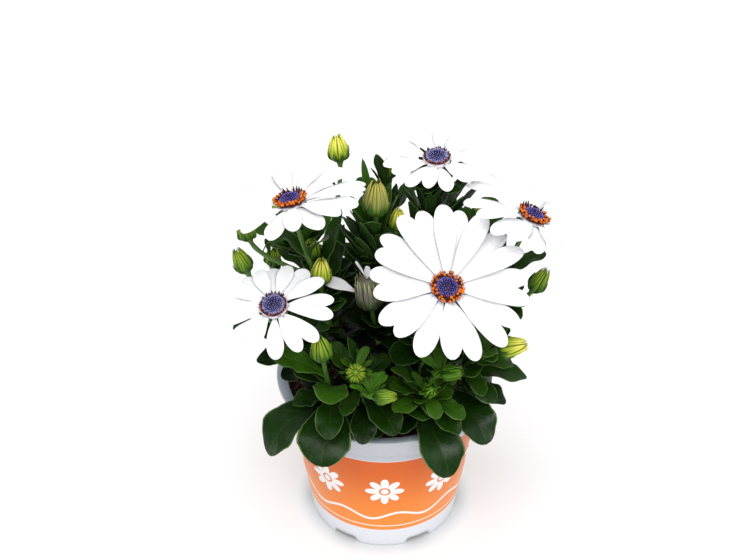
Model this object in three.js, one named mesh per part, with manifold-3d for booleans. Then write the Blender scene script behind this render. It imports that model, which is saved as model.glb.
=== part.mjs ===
// Osteospermum (African daisy) in its 11 cm grower pot: a white pot with an orange band, peat soil, fifteen
// leafy shoots, five open blooms and their buds. Millimetres, +Z up, origin at the middle of the pot's
// underside, -Y the front.
import * as THREE from 'three';
import { mergeVertices } from 'three/addons/utils/BufferGeometryUtils.js';
import Module from 'manifold-3d';

const wasm = await Module();
wasm.setup();

// ---- Driving dimensions ------------------------------------------------------------------------------

const GAP = 0.3;                     // clearance between pieces that touch

const POT = {
  rimRadius: 55,
  height: 88,
  footRadius: 38,
  footWidth: 4.2,                    // width of the ring the pot stands on
  taper: 0.158,                      // wall radius gained per mm of height
  wall: 1.2,
  floor: 1.6,
  collarBase: 74.8,                  // height where the collar steps out of the wall
  collarStep: 1.5,
  collarRise: 0.9,                   // height over which it does
  lip: 1.4,                          // height of the lip's upright edge
  lipStep: 0.7,                      // how far the lip stands out
  rimWidth: 5.6,                     // width of the rim's top
  rimDrop: 0.8,                      // how far its inner edge lies below its outer one
  sides: 32,
  padRadius: 16,                     // flat pad in the middle of the underside
  recess: 0.8,                       // how far the underside is raised round the pad
  footNotches: 6,
  notchWidth: 13.5,
  notchHeight: 3.5,
  notchDepth: 3.4,
  notchTurn: -2.5,                   // degrees by which the notches are turned from the front
  drainHoles: 6,
  drainRadius: 3,
  drainCircle: 26,
};

const SOIL = {
  top: 79,
  sides: 16,
  relief: 1.1,                       // height of the lumps
  lumps: [[38, 1], [24, 4], [10, 2]],  // radius of each lumpy ring and where its lumps start
  edgeDrop: 0.8,                     // how far the edge lies below the middle
  rootDepth: 7,                      // how deep a stem stands in the soil
};

const STEM = {
  rootRadius: 2.1,
  stalkRadius: 1.15,
  budRadius: 2.1,                    // where a stalk swells into its bud
  thinning: 1.3,                     // the stem has its stalk's radius from 1 / 1.3 of its length on
  sides: 5,
  steps: 7,
  sideSteps: 4,
  setOut: 0.38,                      // share of its span in which a stem turns out of its first direction
  arrive: 0.3,                       // and share in which it turns into its last
  branching: 0.55,                   // how far a side stalk starts out towards its own head
  clear: 2.4,                        // height over the soil of the first free section
};

const BLADE = {
  thickness: 1.2,
  petalThickness: 0.9,
  steps: 24,                         // steps in which a blade's middle line is bent
  tooth: 0.05,                       // depth of the teeth and of the waves, as shares of half the width
  wave: 0.06,
  rise: 0.2,                         // how far the two halves of a leaf rise from the rib
  petalRise: 0.1,
  tip: 0.85,                         // from this share of its length on a leaf is thinner
  tipThickness: 0.8,
};

// A petal's outline: its width at the root, how quickly it widens and where it is widest, where its tip
// begins and how blunt that is.
const PETAL_FORM = { root: 0.2, fullness: 1.25, widest: 0.66, tipFrom: 0.66, bluntness: 2.2 };

const HEAD = {
  hubRadius: 6,                      // where the petals leave the hub
  layers: [0.5, 1.6],                // heights of the two layers of petals over the hub's underside
  hubHeight: 2.4,
  domeRadius: 4.5,
  domeHeight: 2.3,
  antherInner: 4.8,
  antherOuter: 7.5,
  antherHeight: 2.2,
  antherSections: 24,
  domeSides: 16,
  domeRows: [0.25, 0.72],            // rows of florets, as shares of the way up the dome
  floret: [0.24, -0.14],             // how far florets stand out and lie back by turns
  cupDepth: 8,
  stalkInCup: 0.6,
  cupRadius: 6.2,
  bracts: 9,
  discLift: 4,                       // from the underside of the hub to the middle of the florets
};

// Open blooms: the middle of the disc, where it faces, petals, mean length from the axis, how far the
// length leans to one side (share, direction) or to two (share), how the petals crowd to one side
// (degrees, direction), the petal's pitch at root and tip, and the size of its disc of florets.
const BLOOMS = [
  {
    name: 'front_right', at: [28.9, -38, 171.8], facing: [0.12, -0.44, 0.89], petals: 20,
    reach: 40, lean: 0.12, leanTo: 64, pinch: -0.03, crowd: 13, crowdTo: 95, width: 10.6,
    pitch: [9, -16], turn: 4, disc: 1,
  },
  {
    name: 'left_back', at: [-45, -5, 199.2], facing: [-0.19, 0.1, 0.98], petals: 18,
    reach: 35.5, lean: 0.02, leanTo: 90, pinch: 0.06, crowd: 8, crowdTo: 20, width: 9.8,
    pitch: [14, -10], turn: 8, disc: 1,
  },
  {
    name: 'left_front', at: [-52.8, -38, 161.7], facing: [-0.09, -0.35, 0.93], petals: 16,
    reach: 26, lean: 0.12, leanTo: 300, pinch: 0.04, crowd: 6, crowdTo: 90, width: 8.2,
    pitch: [8, -10], turn: 0, disc: 0.82,
  },
  {
    name: 'back_right', at: [25.2, 30, 200.2], facing: [0, -0.07, 0.99], petals: 16,
    reach: 24.5, lean: 0.1, leanTo: 250, pinch: 0.02, crowd: 0, crowdTo: 0, width: 8,
    pitch: [15, -8], turn: 12, disc: 0.82,
  },
  {
    name: 'right', at: [71.9, 6, 182.2], facing: [0.38, 0.08, 0.92], petals: 16,
    reach: 32, lean: 0.15, leanTo: 150, pinch: 0, crowd: 6, crowdTo: 200, width: 9.6,
    pitch: [14, -22], turn: 6, disc: 1,
  },
];

// How much petals differ: degrees round the head, share of length, degrees of pitch at root and tip, share
// of width and degrees of roll. Those of the upper layer stand up more.
const PETAL_RULE = {
  seed: 7919, angle: 2.4, reach: 0.03, pitch: [0.7, 1.5], width: 0.06, roll: 3, upperPitch: 5,
};

// Buds: the middle of the bud, where its tip points, its diameter and its length. The first petals in the
// mouth of an opening one, and the petal that has come out at its side: azimuth, pitch at root and tip,
// length, width.
const BUDS = {
  crown_left: { at: [-23, 36, 200.6], facing: [-0.1, 0, 1], wide: 10, long: 14 },
  tall: { at: [-4.4, 5, 192.5], facing: [0.02, -0.12, 1], wide: 12.4, long: 20 },
  behind: { at: [6.2, 10, 176], facing: [0.1, 0, 1], wide: 7.6, long: 12 },
  far_left: { at: [-68.8, -15, 169.9], facing: [-0.35, 0, 0.94], wide: 8.2, long: 13 },
  left_small: { at: [-55, 4, 158], facing: [0.1, -0.1, 1], wide: 7.2, long: 9 },
  mid_small: { at: [-36, 8, 160], facing: [0.1, 0, 1], wide: 8.4, long: 10 },
  mid_yellow: { at: [-31.1, -6, 156.5], facing: [0.05, 0, 1], wide: 9.6, long: 14 },
  low_left: { at: [-30.7, -45, 140.5], facing: [-0.12, -0.12, 1], wide: 10, long: 14 },
  low_front: { at: [-13.9, -52, 130.8], facing: [0, -0.72, 0.68], wide: 9, long: 9 },
  opening: {
    at: [-7.8, -12, 147.6], facing: [-0.12, -0.1, 1], wide: 13, long: 17,
    petals: [[190, 76, 68, 13, 4], [40, 78, 62, 7, 4.5]],
    side: { root: [-6.6, 2.4, 7.8], blade: [153, 17, -1, 18, 7.6] },
  },
  right_green: { at: [76.2, 0, 146.5], facing: [0.45, 0, 0.9], wide: 8.2, long: 14 },
  right_yellow: { at: [61.8, -32, 130.4], facing: [0.9, -0.15, 0.35], wide: 9.8, long: 14 },
  front_green: { at: [0.3, -58, 121], facing: [0.85, -0.3, 0.3], wide: 6.4, long: 11 },
  shoot_tip: { at: [21.5, -55, 122.5], facing: [0.15, -0.6, 0.78], wide: 6.6, long: 10 },
  shoot_side: { at: [32, -50, 129], facing: [0.8, -0.3, 0.4], wide: 6.4, long: 11 },
  cup_left: { at: [-66.5, -5, 180.3], facing: [-0.25, 0, 0.97], wide: 9, long: 9 },
  rear_left: { at: [-52, 38, 166], facing: [-0.3, 0.3, 0.9], wide: 9, long: 13 },
  rear: { at: [2, 44, 183], facing: [0, 0.1, 1], wide: 7, long: 10 },
  rear_right: { at: [50, 42, 158], facing: [0.3, 0.3, 0.9], wide: 8.4, long: 12 },
};

// A bud's outline: share of its length, share of its radius, depth of the grooves between its bracts.
const BUD_SHAPE = {
  sides: 10,
  closed: [[0, 0.44, 0], [0.26, 0.95, 0.05], [0.6, 0.84, 0.08], [0.92, 0.44, 0.12]],
  parted: [[0, 0.42, 0], [0.22, 0.9, 0.05], [0.6, 0.94, 0.08], [1, 0.6, 0.16]],
  core: [0.34, 0.26, 1.3],           // core in an opening bud's mouth: shares of its radius, height
  petalLift: 0.8,                    // height at which the first petals leave that core
};

// Shoots: where each leaves the soil, how it sets out, what its tip carries, the other flower stalks
// (what they carry, the place on the stem they leave), how many leaves the rule gives it between which
// places on the stem, and the leaves that stand out: place on the stem, tip, bend in degrees, width, roll.
const SHOOTS = [
  {
    name: 'front_right', root: [9, -11], out: [0.25, -0.3, 1], tip: { bloom: 0 }, sides: [],
    leaves: 12, leafy: [0.16, 0.66], seed: 11, features: [],
  },
  {
    name: 'left_back', root: [-13, 5], out: [-0.26, 0.46, 1], tip: { bloom: 1 },
    sides: [
      { bud: 'crown_left', from: 0.5 },
      { bud: 'cup_left', from: 0.58 },
      { bud: 'mid_small', from: 0.42 },
    ],
    leaves: 13, leafy: [0.14, 0.8], seed: 23,
    features: [
      { from: 0.6, tip: [-21.4, 5, 173], bend: -12, width: 9, roll: 0 },
    ],
  },
  {
    name: 'left', root: [-19, -5], out: [-0.45, -0.2, 1], tip: { bloom: 2 },
    sides: [{ bud: 'far_left', from: 0.5 }, { bud: 'left_small', from: 0.42 }],
    leaves: 11, leafy: [0.16, 0.7], seed: 37,
    features: [
      { from: 0.36, tip: [-62.4, -30, 119], bend: -50, width: 14, roll: 0 },
      { from: 0.26, tip: [-51, -25, 104], bend: -50, width: 14, roll: 0 },
    ],
  },
  {
    name: 'back_right', root: [10, 10], out: [0.1, 0.2, 1], tip: { bloom: 3 }, sides: [],
    leaves: 14, leafy: [0.16, 0.84], seed: 41,
    features: [
      { from: 0.74, tip: [46, 22, 189], bend: -20, width: 9, roll: 10 },
    ],
  },
  {
    name: 'right', root: [20, 1], out: [0.5, 0, 1], tip: { bloom: 4 },
    sides: [{ bud: 'right_green', from: 0.45 }],
    leaves: 9, leafy: [0.16, 0.74], seed: 53,
    features: [
      { from: 0.5, tip: [68.5, -16, 143], bend: -40, width: 14, roll: 0 },
      { from: 0.38, tip: [66, -14, 129], bend: -40, width: 13, roll: 0 },
      { from: 0.68, tip: [55.5, 12, 171], bend: -15, width: 9, roll: 0 },
    ],
  },
  {
    name: 'back', root: [-2, 9], out: [0, 0.05, 1], tip: { bud: 'tall' },
    sides: [{ bud: 'behind', from: 0.5 }],
    leaves: 14, leafy: [0.16, 0.84], seed: 67,
    features: [{ from: 0.6, tip: [-11.2, 3, 172], bend: -12, width: 9, roll: 0 }],
  },
  {
    name: 'mid_left', root: [-9, -3], out: [-0.25, 0, 1], tip: { bud: 'mid_yellow' },
    sides: [],
    leaves: 13, leafy: [0.16, 0.86], seed: 71, features: [],
  },
  {
    name: 'low_left', root: [-19, -17], out: [-0.35, -0.6, 1], tip: { bud: 'low_left' }, sides: [],
    leaves: 6, leafy: [0.3, 0.8], seed: 83,
    features: [
      { from: 0.32, tip: [-31, -64, 81], bend: -76, width: 27, roll: 2 },
      { from: 0.22, tip: [-58, -46, 73], bend: -112, width: 24, roll: 0 },
      { from: 0.46, tip: [-27.5, -61, 96], bend: -60, width: 14, roll: 0 },
      { from: 0.44, tip: [-45, -41, 101], bend: -40, width: 12, roll: 0 },
      { from: 0.62, tip: [-42, -31, 122], bend: -30, width: 9, roll: 0 },
    ],
  },
  {
    name: 'low_front', root: [-6, -22], out: [-0.1, -0.7, 1], tip: { bud: 'low_front' },
    sides: [{ bud: 'front_green', from: 0.6 }],
    leaves: 6, leafy: [0.2, 0.8], seed: 97,
    features: [
      { from: 0.62, tip: [-20, -57, 108], bend: -30, width: 9, roll: 0 },
      { from: 0.48, tip: [5, -62, 100], bend: -60, width: 16, roll: 0 },
      { from: 0.36, tip: [-13, -62, 92], bend: -60, width: 14, roll: 0 },
      { from: 0.7, tip: [-18, -38, 141], bend: -10, width: 8, roll: 0 },
    ],
  },
  {
    name: 'centre', root: [1, -8], out: [0, -0.1, 1], tip: { bud: 'opening' }, sides: [],
    leaves: 13, leafy: [0.2, 0.76], seed: 101, features: [],
  },
  {
    name: 'low_right', root: [13, -22], out: [0.1, -0.7, 1], tip: { bud: 'shoot_tip' },
    sides: [{ bud: 'shoot_side', from: 0.62 }],
    leaves: 5, leafy: [0.3, 0.9], seed: 113,
    features: [
      { from: 0.36, tip: [31, -66, 76], bend: -85, width: 23, roll: -4 },
      { from: 0.3, tip: [12, -63, 89], bend: -60, width: 16, roll: 0 },
      { from: 0.86, tip: [25, -63, 111], bend: -50, width: 8, roll: 0 },
      { from: 0.7, tip: [38, -58, 107], bend: -50, width: 11, roll: 0 },
      { from: 0.52, tip: [36, -59, 98], bend: -50, width: 12, roll: 0 },
      { from: 0.78, tip: [2.7, -50, 131], bend: -50, width: 10, roll: 0 },
    ],
  },
  {
    name: 'far_right', root: [23, -11], out: [0.6, -0.35, 1], tip: { bud: 'right_yellow' }, sides: [],
    leaves: 5, leafy: [0.3, 0.85], seed: 127,
    features: [
      { from: 0.5, tip: [70.3, -24, 104], bend: -35, width: 14, roll: 0 },
      { from: 0.66, tip: [63, -25, 112.5], bend: -35, width: 9, roll: 0 },
      { from: 0.58, tip: [47.5, -46, 111], bend: -40, width: 9, roll: 0 },
      { from: 0.44, tip: [53.5, -41, 102], bend: -50, width: 13, roll: 0 },
      { from: 0.26, tip: [50, -49, 82], bend: -74, width: 21, roll: 0 },
      { from: 0.3, tip: [60, -30, 92], bend: -60, width: 14, roll: 0 },
    ],
  },
  {
    name: 'rear_left', root: [-15, 17], out: [-0.5, 0.4, 1], tip: { bud: 'rear_left' }, sides: [],
    leaves: 11, leafy: [0.14, 0.84], seed: 139, features: [],
  },
  {
    name: 'rear', root: [0, 21], out: [0, 0.6, 1], tip: { bud: 'rear' }, sides: [],
    leaves: 12, leafy: [0.14, 0.84], seed: 149,
    features: [{ from: 0.8, tip: [-4, 32, 199], bend: -12, width: 8, roll: 0 }],
  },
  {
    name: 'rear_right', root: [19, 15], out: [0.5, 0.5, 1], tip: { bud: 'rear_right' }, sides: [],
    leaves: 10, leafy: [0.14, 0.84], seed: 157, features: [],
  },
];

// Leaves by height: low ones are long and broad and hang over the rim, high ones narrow and upright.
const LEAF_RULE = {
  lowest: 84,                        // height of the first leaves
  highest: 165,                      // height of the last
  length: [40, 25],
  width: [21, 10],
  pitch: [4, 52],
  bend: [-52, -30],
  goldenAngle: 137.5,
  large: 36,                         // a longer leaf gets one more tooth on each side
  vary: { pitch: 10, bend: [0.7, 1.2], length: [0.88, 1.08], width: [0.9, 1.1], roll: 16 },
  tries: 20,                         // attempts to place a leaf, each a little different from the last
  shrink: 0.03,
  turn: 9,
  raise: 2.6,
  featureTurn: 4,
  featureLift: 1.2,
};

const CLEARANCE = {
  spacing: 2.6,                      // distance between the points that stand for a blade
  blade: 1.05,                       // room kept round each such point
  petal: 1.5,
  stalk: 2.5,                        // length of a leaf's stalk that lies in its stem
  fork: 7,                           // leaves of one stem may touch this near to their roots
  rim: 1.8,
  rimZone: 7,                        // width of the zone inside the rim's edge that belongs to the rim
  soil: 2.5,
  bud: 0.6,
  ownStem: 0.5,                      // share of the room kept from the shoot's own stem and leaves
  ownBlade: 0.7,
  cell: 6,
};

// ---- Small helpers -----------------------------------------------------------------------------------

const radians = THREE.MathUtils.degToRad;
const lerp = THREE.MathUtils.lerp;
const clamp = THREE.MathUtils.clamp;
const point = (list) => new THREE.Vector3(...list);

/** A repeatable row of random numbers. */
class Draw {
  constructor(seed) {
    this.state = seed;
  }

  next() {
    this.state = (this.state * 48271) % 2147483647;
    return this.state / 2147483647;
  }

  between(low, high) {
    return low + (high - low) * this.next();
  }
}

/** A closed body through rings of equal count; a first or last ring of one point is an apex. */
function loft(rings, flipped = () => false) {
  const positions = [];
  const starts = [];
  for (const ring of rings) {
    starts.push(positions.length / 3);
    ring.forEach((p) => positions.push(p.x, p.y, p.z));
  }
  const index = [];
  for (let i = 0; i + 1 < rings.length; i++) {
    const count = Math.max(rings[i].length, rings[i + 1].length);
    for (let j = 0; j < count; j++) {
      const next = (j + 1) % count;
      const a = starts[i] + j;
      const b = starts[i] + next;
      const c = starts[i + 1] + j;
      const d = starts[i + 1] + next;
      if (rings[i].length === 1) index.push(starts[i], d, c);
      else if (rings[i + 1].length === 1) index.push(a, b, starts[i + 1]);
      else if (flipped(j)) index.push(a, b, c, b, d, c);
      else index.push(a, b, d, a, d, c);
    }
  }
  const last = rings.length - 1;
  for (let j = 1; j + 1 < rings[0].length; j++) index.push(starts[0], starts[0] + j + 1, starts[0] + j);
  for (let j = 1; j + 1 < rings[last].length; j++) {
    index.push(starts[last], starts[last] + j, starts[last] + j + 1);
  }
  return body(positions, index);
}

/** A closed ring body: a row of sections joined end to end. */
function hoop(sections) {
  const n = sections[0].length;
  const positions = sections.flatMap((section) => section.flatMap((p) => [p.x, p.y, p.z]));
  const index = [];
  sections.forEach((_, i) => {
    const here = i * n;
    const there = ((i + 1) % sections.length) * n;
    for (let j = 0; j < n; j++) {
      const k = (j + 1) % n;
      index.push(here + j, here + k, there + k, here + j, there + k, there + j);
    }
  });
  return body(positions, index);
}

/** Six times the volume that a list of triangles encloses, negative where they face inward. */
function signedVolume(positions, index) {
  const corner = (k) => new THREE.Vector3().fromArray(positions, 3 * index[k]);
  let sum = 0;
  for (let i = 0; i < index.length; i += 3) sum += corner(i).dot(corner(i + 1).cross(corner(i + 2)));
  return sum;
}

/** A geometry from points and triangles, with the faces turned outward. */
function body(positions, index) {
  const turned = signedVolume(positions, index) < 0 ? index.slice().reverse() : index;
  const geometry = new THREE.BufferGeometry();
  geometry.setAttribute('position', new THREE.Float32BufferAttribute(positions, 3));
  geometry.setIndex(turned);
  return geometry;
}

/** The solid of a closed geometry. */
function solid(geometry) {
  const bare = geometry.clone();
  bare.deleteAttribute('normal');
  bare.deleteAttribute('uv');
  const merged = mergeVertices(bare, 1e-4);
  const made = new wasm.Manifold(new wasm.Mesh({
    numProp: 3,
    vertProperties: new Float32Array(merged.attributes.position.array),
    triVerts: new Uint32Array(merged.index.array),
  }));
  if (made.isEmpty()) throw new Error(`not a solid: ${made.status()}`);
  return made;
}

/** The geometry of a solid. */
function geometryOf(made) {
  const mesh = made.getMesh();
  const geometry = new THREE.BufferGeometry();
  geometry.setAttribute('position', new THREE.BufferAttribute(new Float32Array(mesh.vertProperties), 3));
  geometry.setIndex(new THREE.BufferAttribute(new Uint32Array(mesh.triVerts), 1));
  geometry.computeVertexNormals();
  return geometry;
}

/** Joins closed geometries in one solid and returns its largest piece. */
function fuse(geometries) {
  const joined = geometries.map(solid).reduce((sum, piece) => sum.add(piece));
  const pieces = joined.decompose();
  return pieces.sort((p, q) => q.volume() - p.volume())[0];
}

/** A named mesh. */
function mesh(name, geometry, material) {
  geometry.computeVertexNormals();
  const made = new THREE.Mesh(geometry, material);
  made.name = name;
  return made;
}

const finish = (color, roughness) => new THREE.MeshStandardMaterial({ color, roughness, metalness: 0 });

const FINISH = {
  pot: finish(0xe9ecef, 0.35),
  soil: finish(0x33201a, 0.95),
  leaf: finish(0x245a1c, 0.5),
  petal: finish(0xf6f6fa, 0.75),
  dome: finish(0x4d4a9c, 0.7),
  anther: finish(0xe07418, 0.7),
  bud: finish(0x98b43a, 0.6),
  parted: finish(0x8a8a70, 0.6),
};

// ---- Stems -------------------------------------------------------------------------------------------

/** A stem's middle line: it leaves one point in one direction and comes to another along a second. */
function stemCurve(start, out, end, arrival) {
  const span = start.distanceTo(end);
  const first = start.clone().addScaledVector(out.clone().normalize(), span * STEM.setOut);
  const second = end.clone().addScaledVector(arrival.clone().normalize(), -span * STEM.arrive);
  return new THREE.CubicBezierCurve3(start, first, second, end);
}

/** Rings across a curve at the given places, with a radius at each. */
function rings(curve, places, radii, sides) {
  const rows = [];
  let side = null;
  places.forEach((t, i) => {
    const along = curve.getTangent(t);
    side ??= new THREE.Vector3(0, 1, 0).cross(along);
    side = side.addScaledVector(along, -side.dot(along)).normalize();
    const other = along.clone().cross(side);
    const centre = curve.getPoint(t);
    rows.push(Array.from({ length: sides }, (_, j) => {
      const angle = (2 * Math.PI * j) / sides;
      return centre.clone()
        .addScaledVector(side, radii[i] * Math.cos(angle))
        .addScaledVector(other, radii[i] * Math.sin(angle));
    }));
  });
  return rows;
}

/** Places along a shoot: the first two enclose the stretch in the soil. */
function placesAlong(curve, steps) {
  let above = 0;
  while (curve.getPoint(above).z < SOIL.top + STEM.clear) above += 0.01;
  return [0, ...Array.from({ length: steps }, (_, i) => lerp(above, 1, i / (steps - 1)))];
}

// ---- Heads: blooms and buds --------------------------------------------------------------------------

/** Position and turn of a head whose local Z is the way it faces. */
function stance(at, facing, drop) {
  const axis = point(facing).normalize();
  const turn = new THREE.Quaternion().setFromUnitVectors(new THREE.Vector3(0, 0, 1), axis);
  return new THREE.Matrix4().compose(
    point(at).addScaledVector(axis, -drop), turn, new THREE.Vector3(1, 1, 1));
}

const bloomStance = (bloom) => stance(bloom.at, bloom.facing, HEAD.discLift);
const budStance = (bud) => stance(bud.at, bud.facing, bud.long / 2);

/** A ring of points round the local Z axis. */
function circle(radius, z, count, wobble = () => 0, lift = () => 0) {
  return Array.from({ length: count }, (_, j) => {
    const angle = (2 * Math.PI * j) / count;
    const r = radius + wobble(j);
    return new THREE.Vector3(r * Math.cos(angle), r * Math.sin(angle), z + lift(j));
  });
}

// ---- Blades: leaves and petals -----------------------------------------------------------------------

/**
 * The middle line of a blade from its root: it starts at one pitch and bends evenly to another, in the
 * upright plane of its azimuth. Each station has its place, direction, side and normal.
 */
function bladeLine(blade, shares) {
  const fine = BLADE.steps;
  const heading = radians(blade.azimuth);
  const across = new THREE.Vector3(-Math.sin(heading), Math.cos(heading), 0);
  const stations = [];
  const at = blade.root.clone();
  let done = 0;
  for (const share of shares) {
    while (done < share * fine - 1e-9) {
      const step = Math.min(1, share * fine - done);
      const pitch = radians(lerp(blade.pitch[0], blade.pitch[1], (done + step / 2) / fine));
      const reach = (blade.length * step) / fine;
      at.x += reach * Math.cos(pitch) * Math.cos(heading);
      at.y += reach * Math.cos(pitch) * Math.sin(heading);
      at.z += reach * Math.sin(pitch);
      done += step;
    }
    const pitch = radians(lerp(blade.pitch[0], blade.pitch[1], share));
    const along = new THREE.Vector3(
      Math.cos(pitch) * Math.cos(heading), Math.cos(pitch) * Math.sin(heading), Math.sin(pitch));
    const roll = radians(blade.roll ?? 0);
    const level = along.clone().cross(across);
    const side = across.clone().multiplyScalar(Math.cos(roll)).addScaledVector(level, Math.sin(roll));
    stations.push({ share, at: at.clone(), along, side, normal: along.clone().cross(side) });
  }
  return stations;
}

/** Half the width of a leaf at a share of its length: a narrow stalk, then a spoon with a blunt tip. */
const leafOutline = (share) => 0.11 + 0.89 * Math.sin(Math.PI * Math.min(share, 1) ** 1.75) ** 0.72;

/** Half the width of a petal: narrow at the hub, widest past the middle, with a broad round tip. */
function petalOutline(share) {
  const { root, widest, fullness } = PETAL_FORM;
  const spread = root + (1 - root) * Math.sin((Math.PI / 2) * Math.min(1, share / widest)) ** fullness;
  const end = clamp((share - PETAL_FORM.tipFrom) / (1 - PETAL_FORM.tipFrom), 0, 1);
  return spread * Math.sqrt(1 - end ** PETAL_FORM.bluntness);
}

const LEAF_SHARES = [0, 0.2, 0.45, 0.7, 0.9, 1];
const SMALL_LEAF_SHARES = [0, 0.3, 0.64, 0.9, 1];
const PETAL_SHARES = [0, 0.34, 0.7, 0.93, 1];

/** A leaf: creased along its rib, its edge toothed and waved by turns. */
function leafGeometry(leaf) {
  const shares = leaf.length > LEAF_RULE.large ? LEAF_SHARES : SMALL_LEAF_SHARES;
  const rows = bladeLine(leaf, shares).map((station, i) => {
    if (i === 0 || station.share === 1) return [station.at];
    const tooth = i % 2 ? 1 : -1;
    const half = 0.5 * leaf.width * leafOutline(station.share) * (1 + BLADE.tooth * tooth);
    const wave = BLADE.wave * half * tooth;
    const rise = BLADE.rise * half;
    const thick = 0.5 * BLADE.thickness * (station.share > BLADE.tip ? BLADE.tipThickness : 1);
    return [
      station.at.clone().addScaledVector(station.side, -half).addScaledVector(station.normal, rise + wave),
      station.at.clone().addScaledVector(station.normal, thick),
      station.at.clone().addScaledVector(station.side, half).addScaledVector(station.normal, rise - wave),
      station.at.clone().addScaledVector(station.normal, -thick),
    ];
  });
  return loft(rows, (j) => j % 2 === 1);
}

/** The rings of a petal, from the hub to its tip: a shallow trough with a rounded end. */
function petalRings(petal) {
  return bladeLine(petal, PETAL_SHARES).map((station) => {
    if (station.share === 1) return [station.at];
    const half = 0.5 * petal.width * petalOutline(station.share);
    const thick = 0.5 * BLADE.petalThickness;
    const rise = BLADE.petalRise * half;
    return [
      station.at.clone().addScaledVector(station.side, -half).addScaledVector(station.normal, rise),
      station.at.clone().addScaledVector(station.normal, thick),
      station.at.clone().addScaledVector(station.side, half).addScaledVector(station.normal, rise),
      station.at.clone().addScaledVector(station.normal, -thick),
    ];
  });
}

/**
 * A wreath of petals as a single body. The petals stand in two layers by turns, and the roots of the two
 * layers meet in the side of a small hub.
 */
function petalWreath(petals) {
  const positions = [];
  const index = [];
  const add = (p) => positions.push(p.x, p.y, p.z) / 3 - 1;
  const strip = (from, to) => from.forEach((_, j) => {
    const k = (j + 1) % from.length;
    if (to.length === 1) index.push(from[j], from[k], to[0]);
    else if (j % 2) index.push(from[j], from[k], to[j], from[k], to[k], to[j]);
    else index.push(from[j], from[k], to[k], from[j], to[k], to[j]);
  });
  const roots = petals.map((petal) => {
    const rows = petalRings(petal).map((ring) => ring.map(add));
    for (let i = 0; i + 1 < rows.length; i++) strip(rows[i], rows[i + 1]);
    return rows[0];
  });
  const lower = roots.filter((_, i) => i % 2 === 0);
  const upper = roots.filter((_, i) => i % 2 === 1);
  const half = BLADE.petalThickness / 2;
  const underside = add(new THREE.Vector3(0, 0, HEAD.layers[0] - half));
  const top = add(new THREE.Vector3(0, 0, HEAD.layers[1] + half));
  const inside = [];
  const outside = [];
  lower.forEach(([right, ridge, left, keel], i) => {
    const after = lower[(i + 1) % lower.length][0];
    index.push(underside, right, keel, underside, keel, left, underside, left, after);
    inside.push(ridge, left, after);
  });
  upper.forEach(([right, ridge, left, keel], i) => {
    const after = upper[(i + 1) % upper.length][0];
    index.push(top, ridge, right, top, left, ridge, top, after, left);
    outside.push(right, keel, left);
  });
  inside.forEach((here, k) => {
    const next = (k + 1) % inside.length;
    index.push(inside[next], here, outside[k], inside[next], outside[k], outside[next]);
  });
  return body(positions, index);
}

/** Points spread over a blade, for keeping other blades clear of it. */
function bladePoints(blade, outline) {
  const count = Math.ceil(blade.length / CLEARANCE.spacing);
  const shares = Array.from({ length: count }, (_, i) => (i + 1) / count);
  const points = [];
  for (const station of bladeLine(blade, shares)) {
    const half = 0.5 * blade.width * outline(station.share);
    const columns = Math.max(1, Math.round((2 * half) / CLEARANCE.spacing));
    for (let k = 0; k <= columns; k++) {
      const across = half * ((2 * k) / columns - 1);
      points.push(station.at.clone().addScaledVector(station.side, across)
        .addScaledVector(station.normal, BLADE.rise * Math.abs(across)));
    }
  }
  return points;
}

// ---- Room already taken ------------------------------------------------------------------------------

/** Spheres that stand for what is already placed, found again by a grid of cells. */
class Room {
  constructor() {
    this.cells = new Map();
  }

  key(x, y, z) {
    return (x * 1024 + y) * 1024 + z;
  }

  cell(value) {
    return Math.floor(value / CLEARANCE.cell) + 512;
  }

  take(points, radius, owner, isStem = false) {
    for (const p of points) {
      const key = this.key(this.cell(p.x), this.cell(p.y), this.cell(p.z));
      if (!this.cells.has(key)) this.cells.set(key, []);
      this.cells.get(key).push({ p, radius, owner, isStem });
    }
  }

  /** True where a point of an owner is clear; `far` tells that it is well away from its own stem. */
  isFree(p, radius, owner, far) {
    for (let i = -1; i <= 1; i++) {
      for (let j = -1; j <= 1; j++) {
        for (let k = -1; k <= 1; k++) {
          const key = this.key(this.cell(p.x) + i, this.cell(p.y) + j, this.cell(p.z) + k);
          for (const other of this.cells.get(key) ?? []) {
            const own = other.owner === owner;
            if (own && !far) continue;
            const ownShare = other.isStem ? CLEARANCE.ownStem : CLEARANCE.ownBlade;
            const near = own ? ownShare : 1;
            if (p.distanceTo(other.p) < near * (radius + other.radius)) return false;
          }
        }
      }
    }
    return true;
  }
}

/** True where a point would run into the pot's rim or wall, or into the soil. */
function hitsPot(p) {
  const radius = Math.hypot(p.x, p.y);
  if (p.z > POT.height + CLEARANCE.rim) return false;
  if (radius < POT.rimRadius - CLEARANCE.rimZone) return p.z < SOIL.top + CLEARANCE.soil;
  return radius < POT.rimRadius + CLEARANCE.rim;
}

// ---- The plant's layout ------------------------------------------------------------------------------

/** Where a head's stalk ends and which way it points there. */
function stalkEnd(target) {
  const bloom = target.bloom === undefined ? null : BLOOMS[target.bloom];
  const bud = bloom ? null : BUDS[target.bud];
  const matrix = bloom ? bloomStance(bloom) : budStance(bud);
  const axis = point(bloom ? bloom.facing : bud.facing).normalize();
  const down = bloom ? HEAD.cupDepth - HEAD.stalkInCup : GAP;
  return { end: new THREE.Vector3(0, 0, -down).applyMatrix4(matrix), axis, bloom, bud };
}

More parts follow.
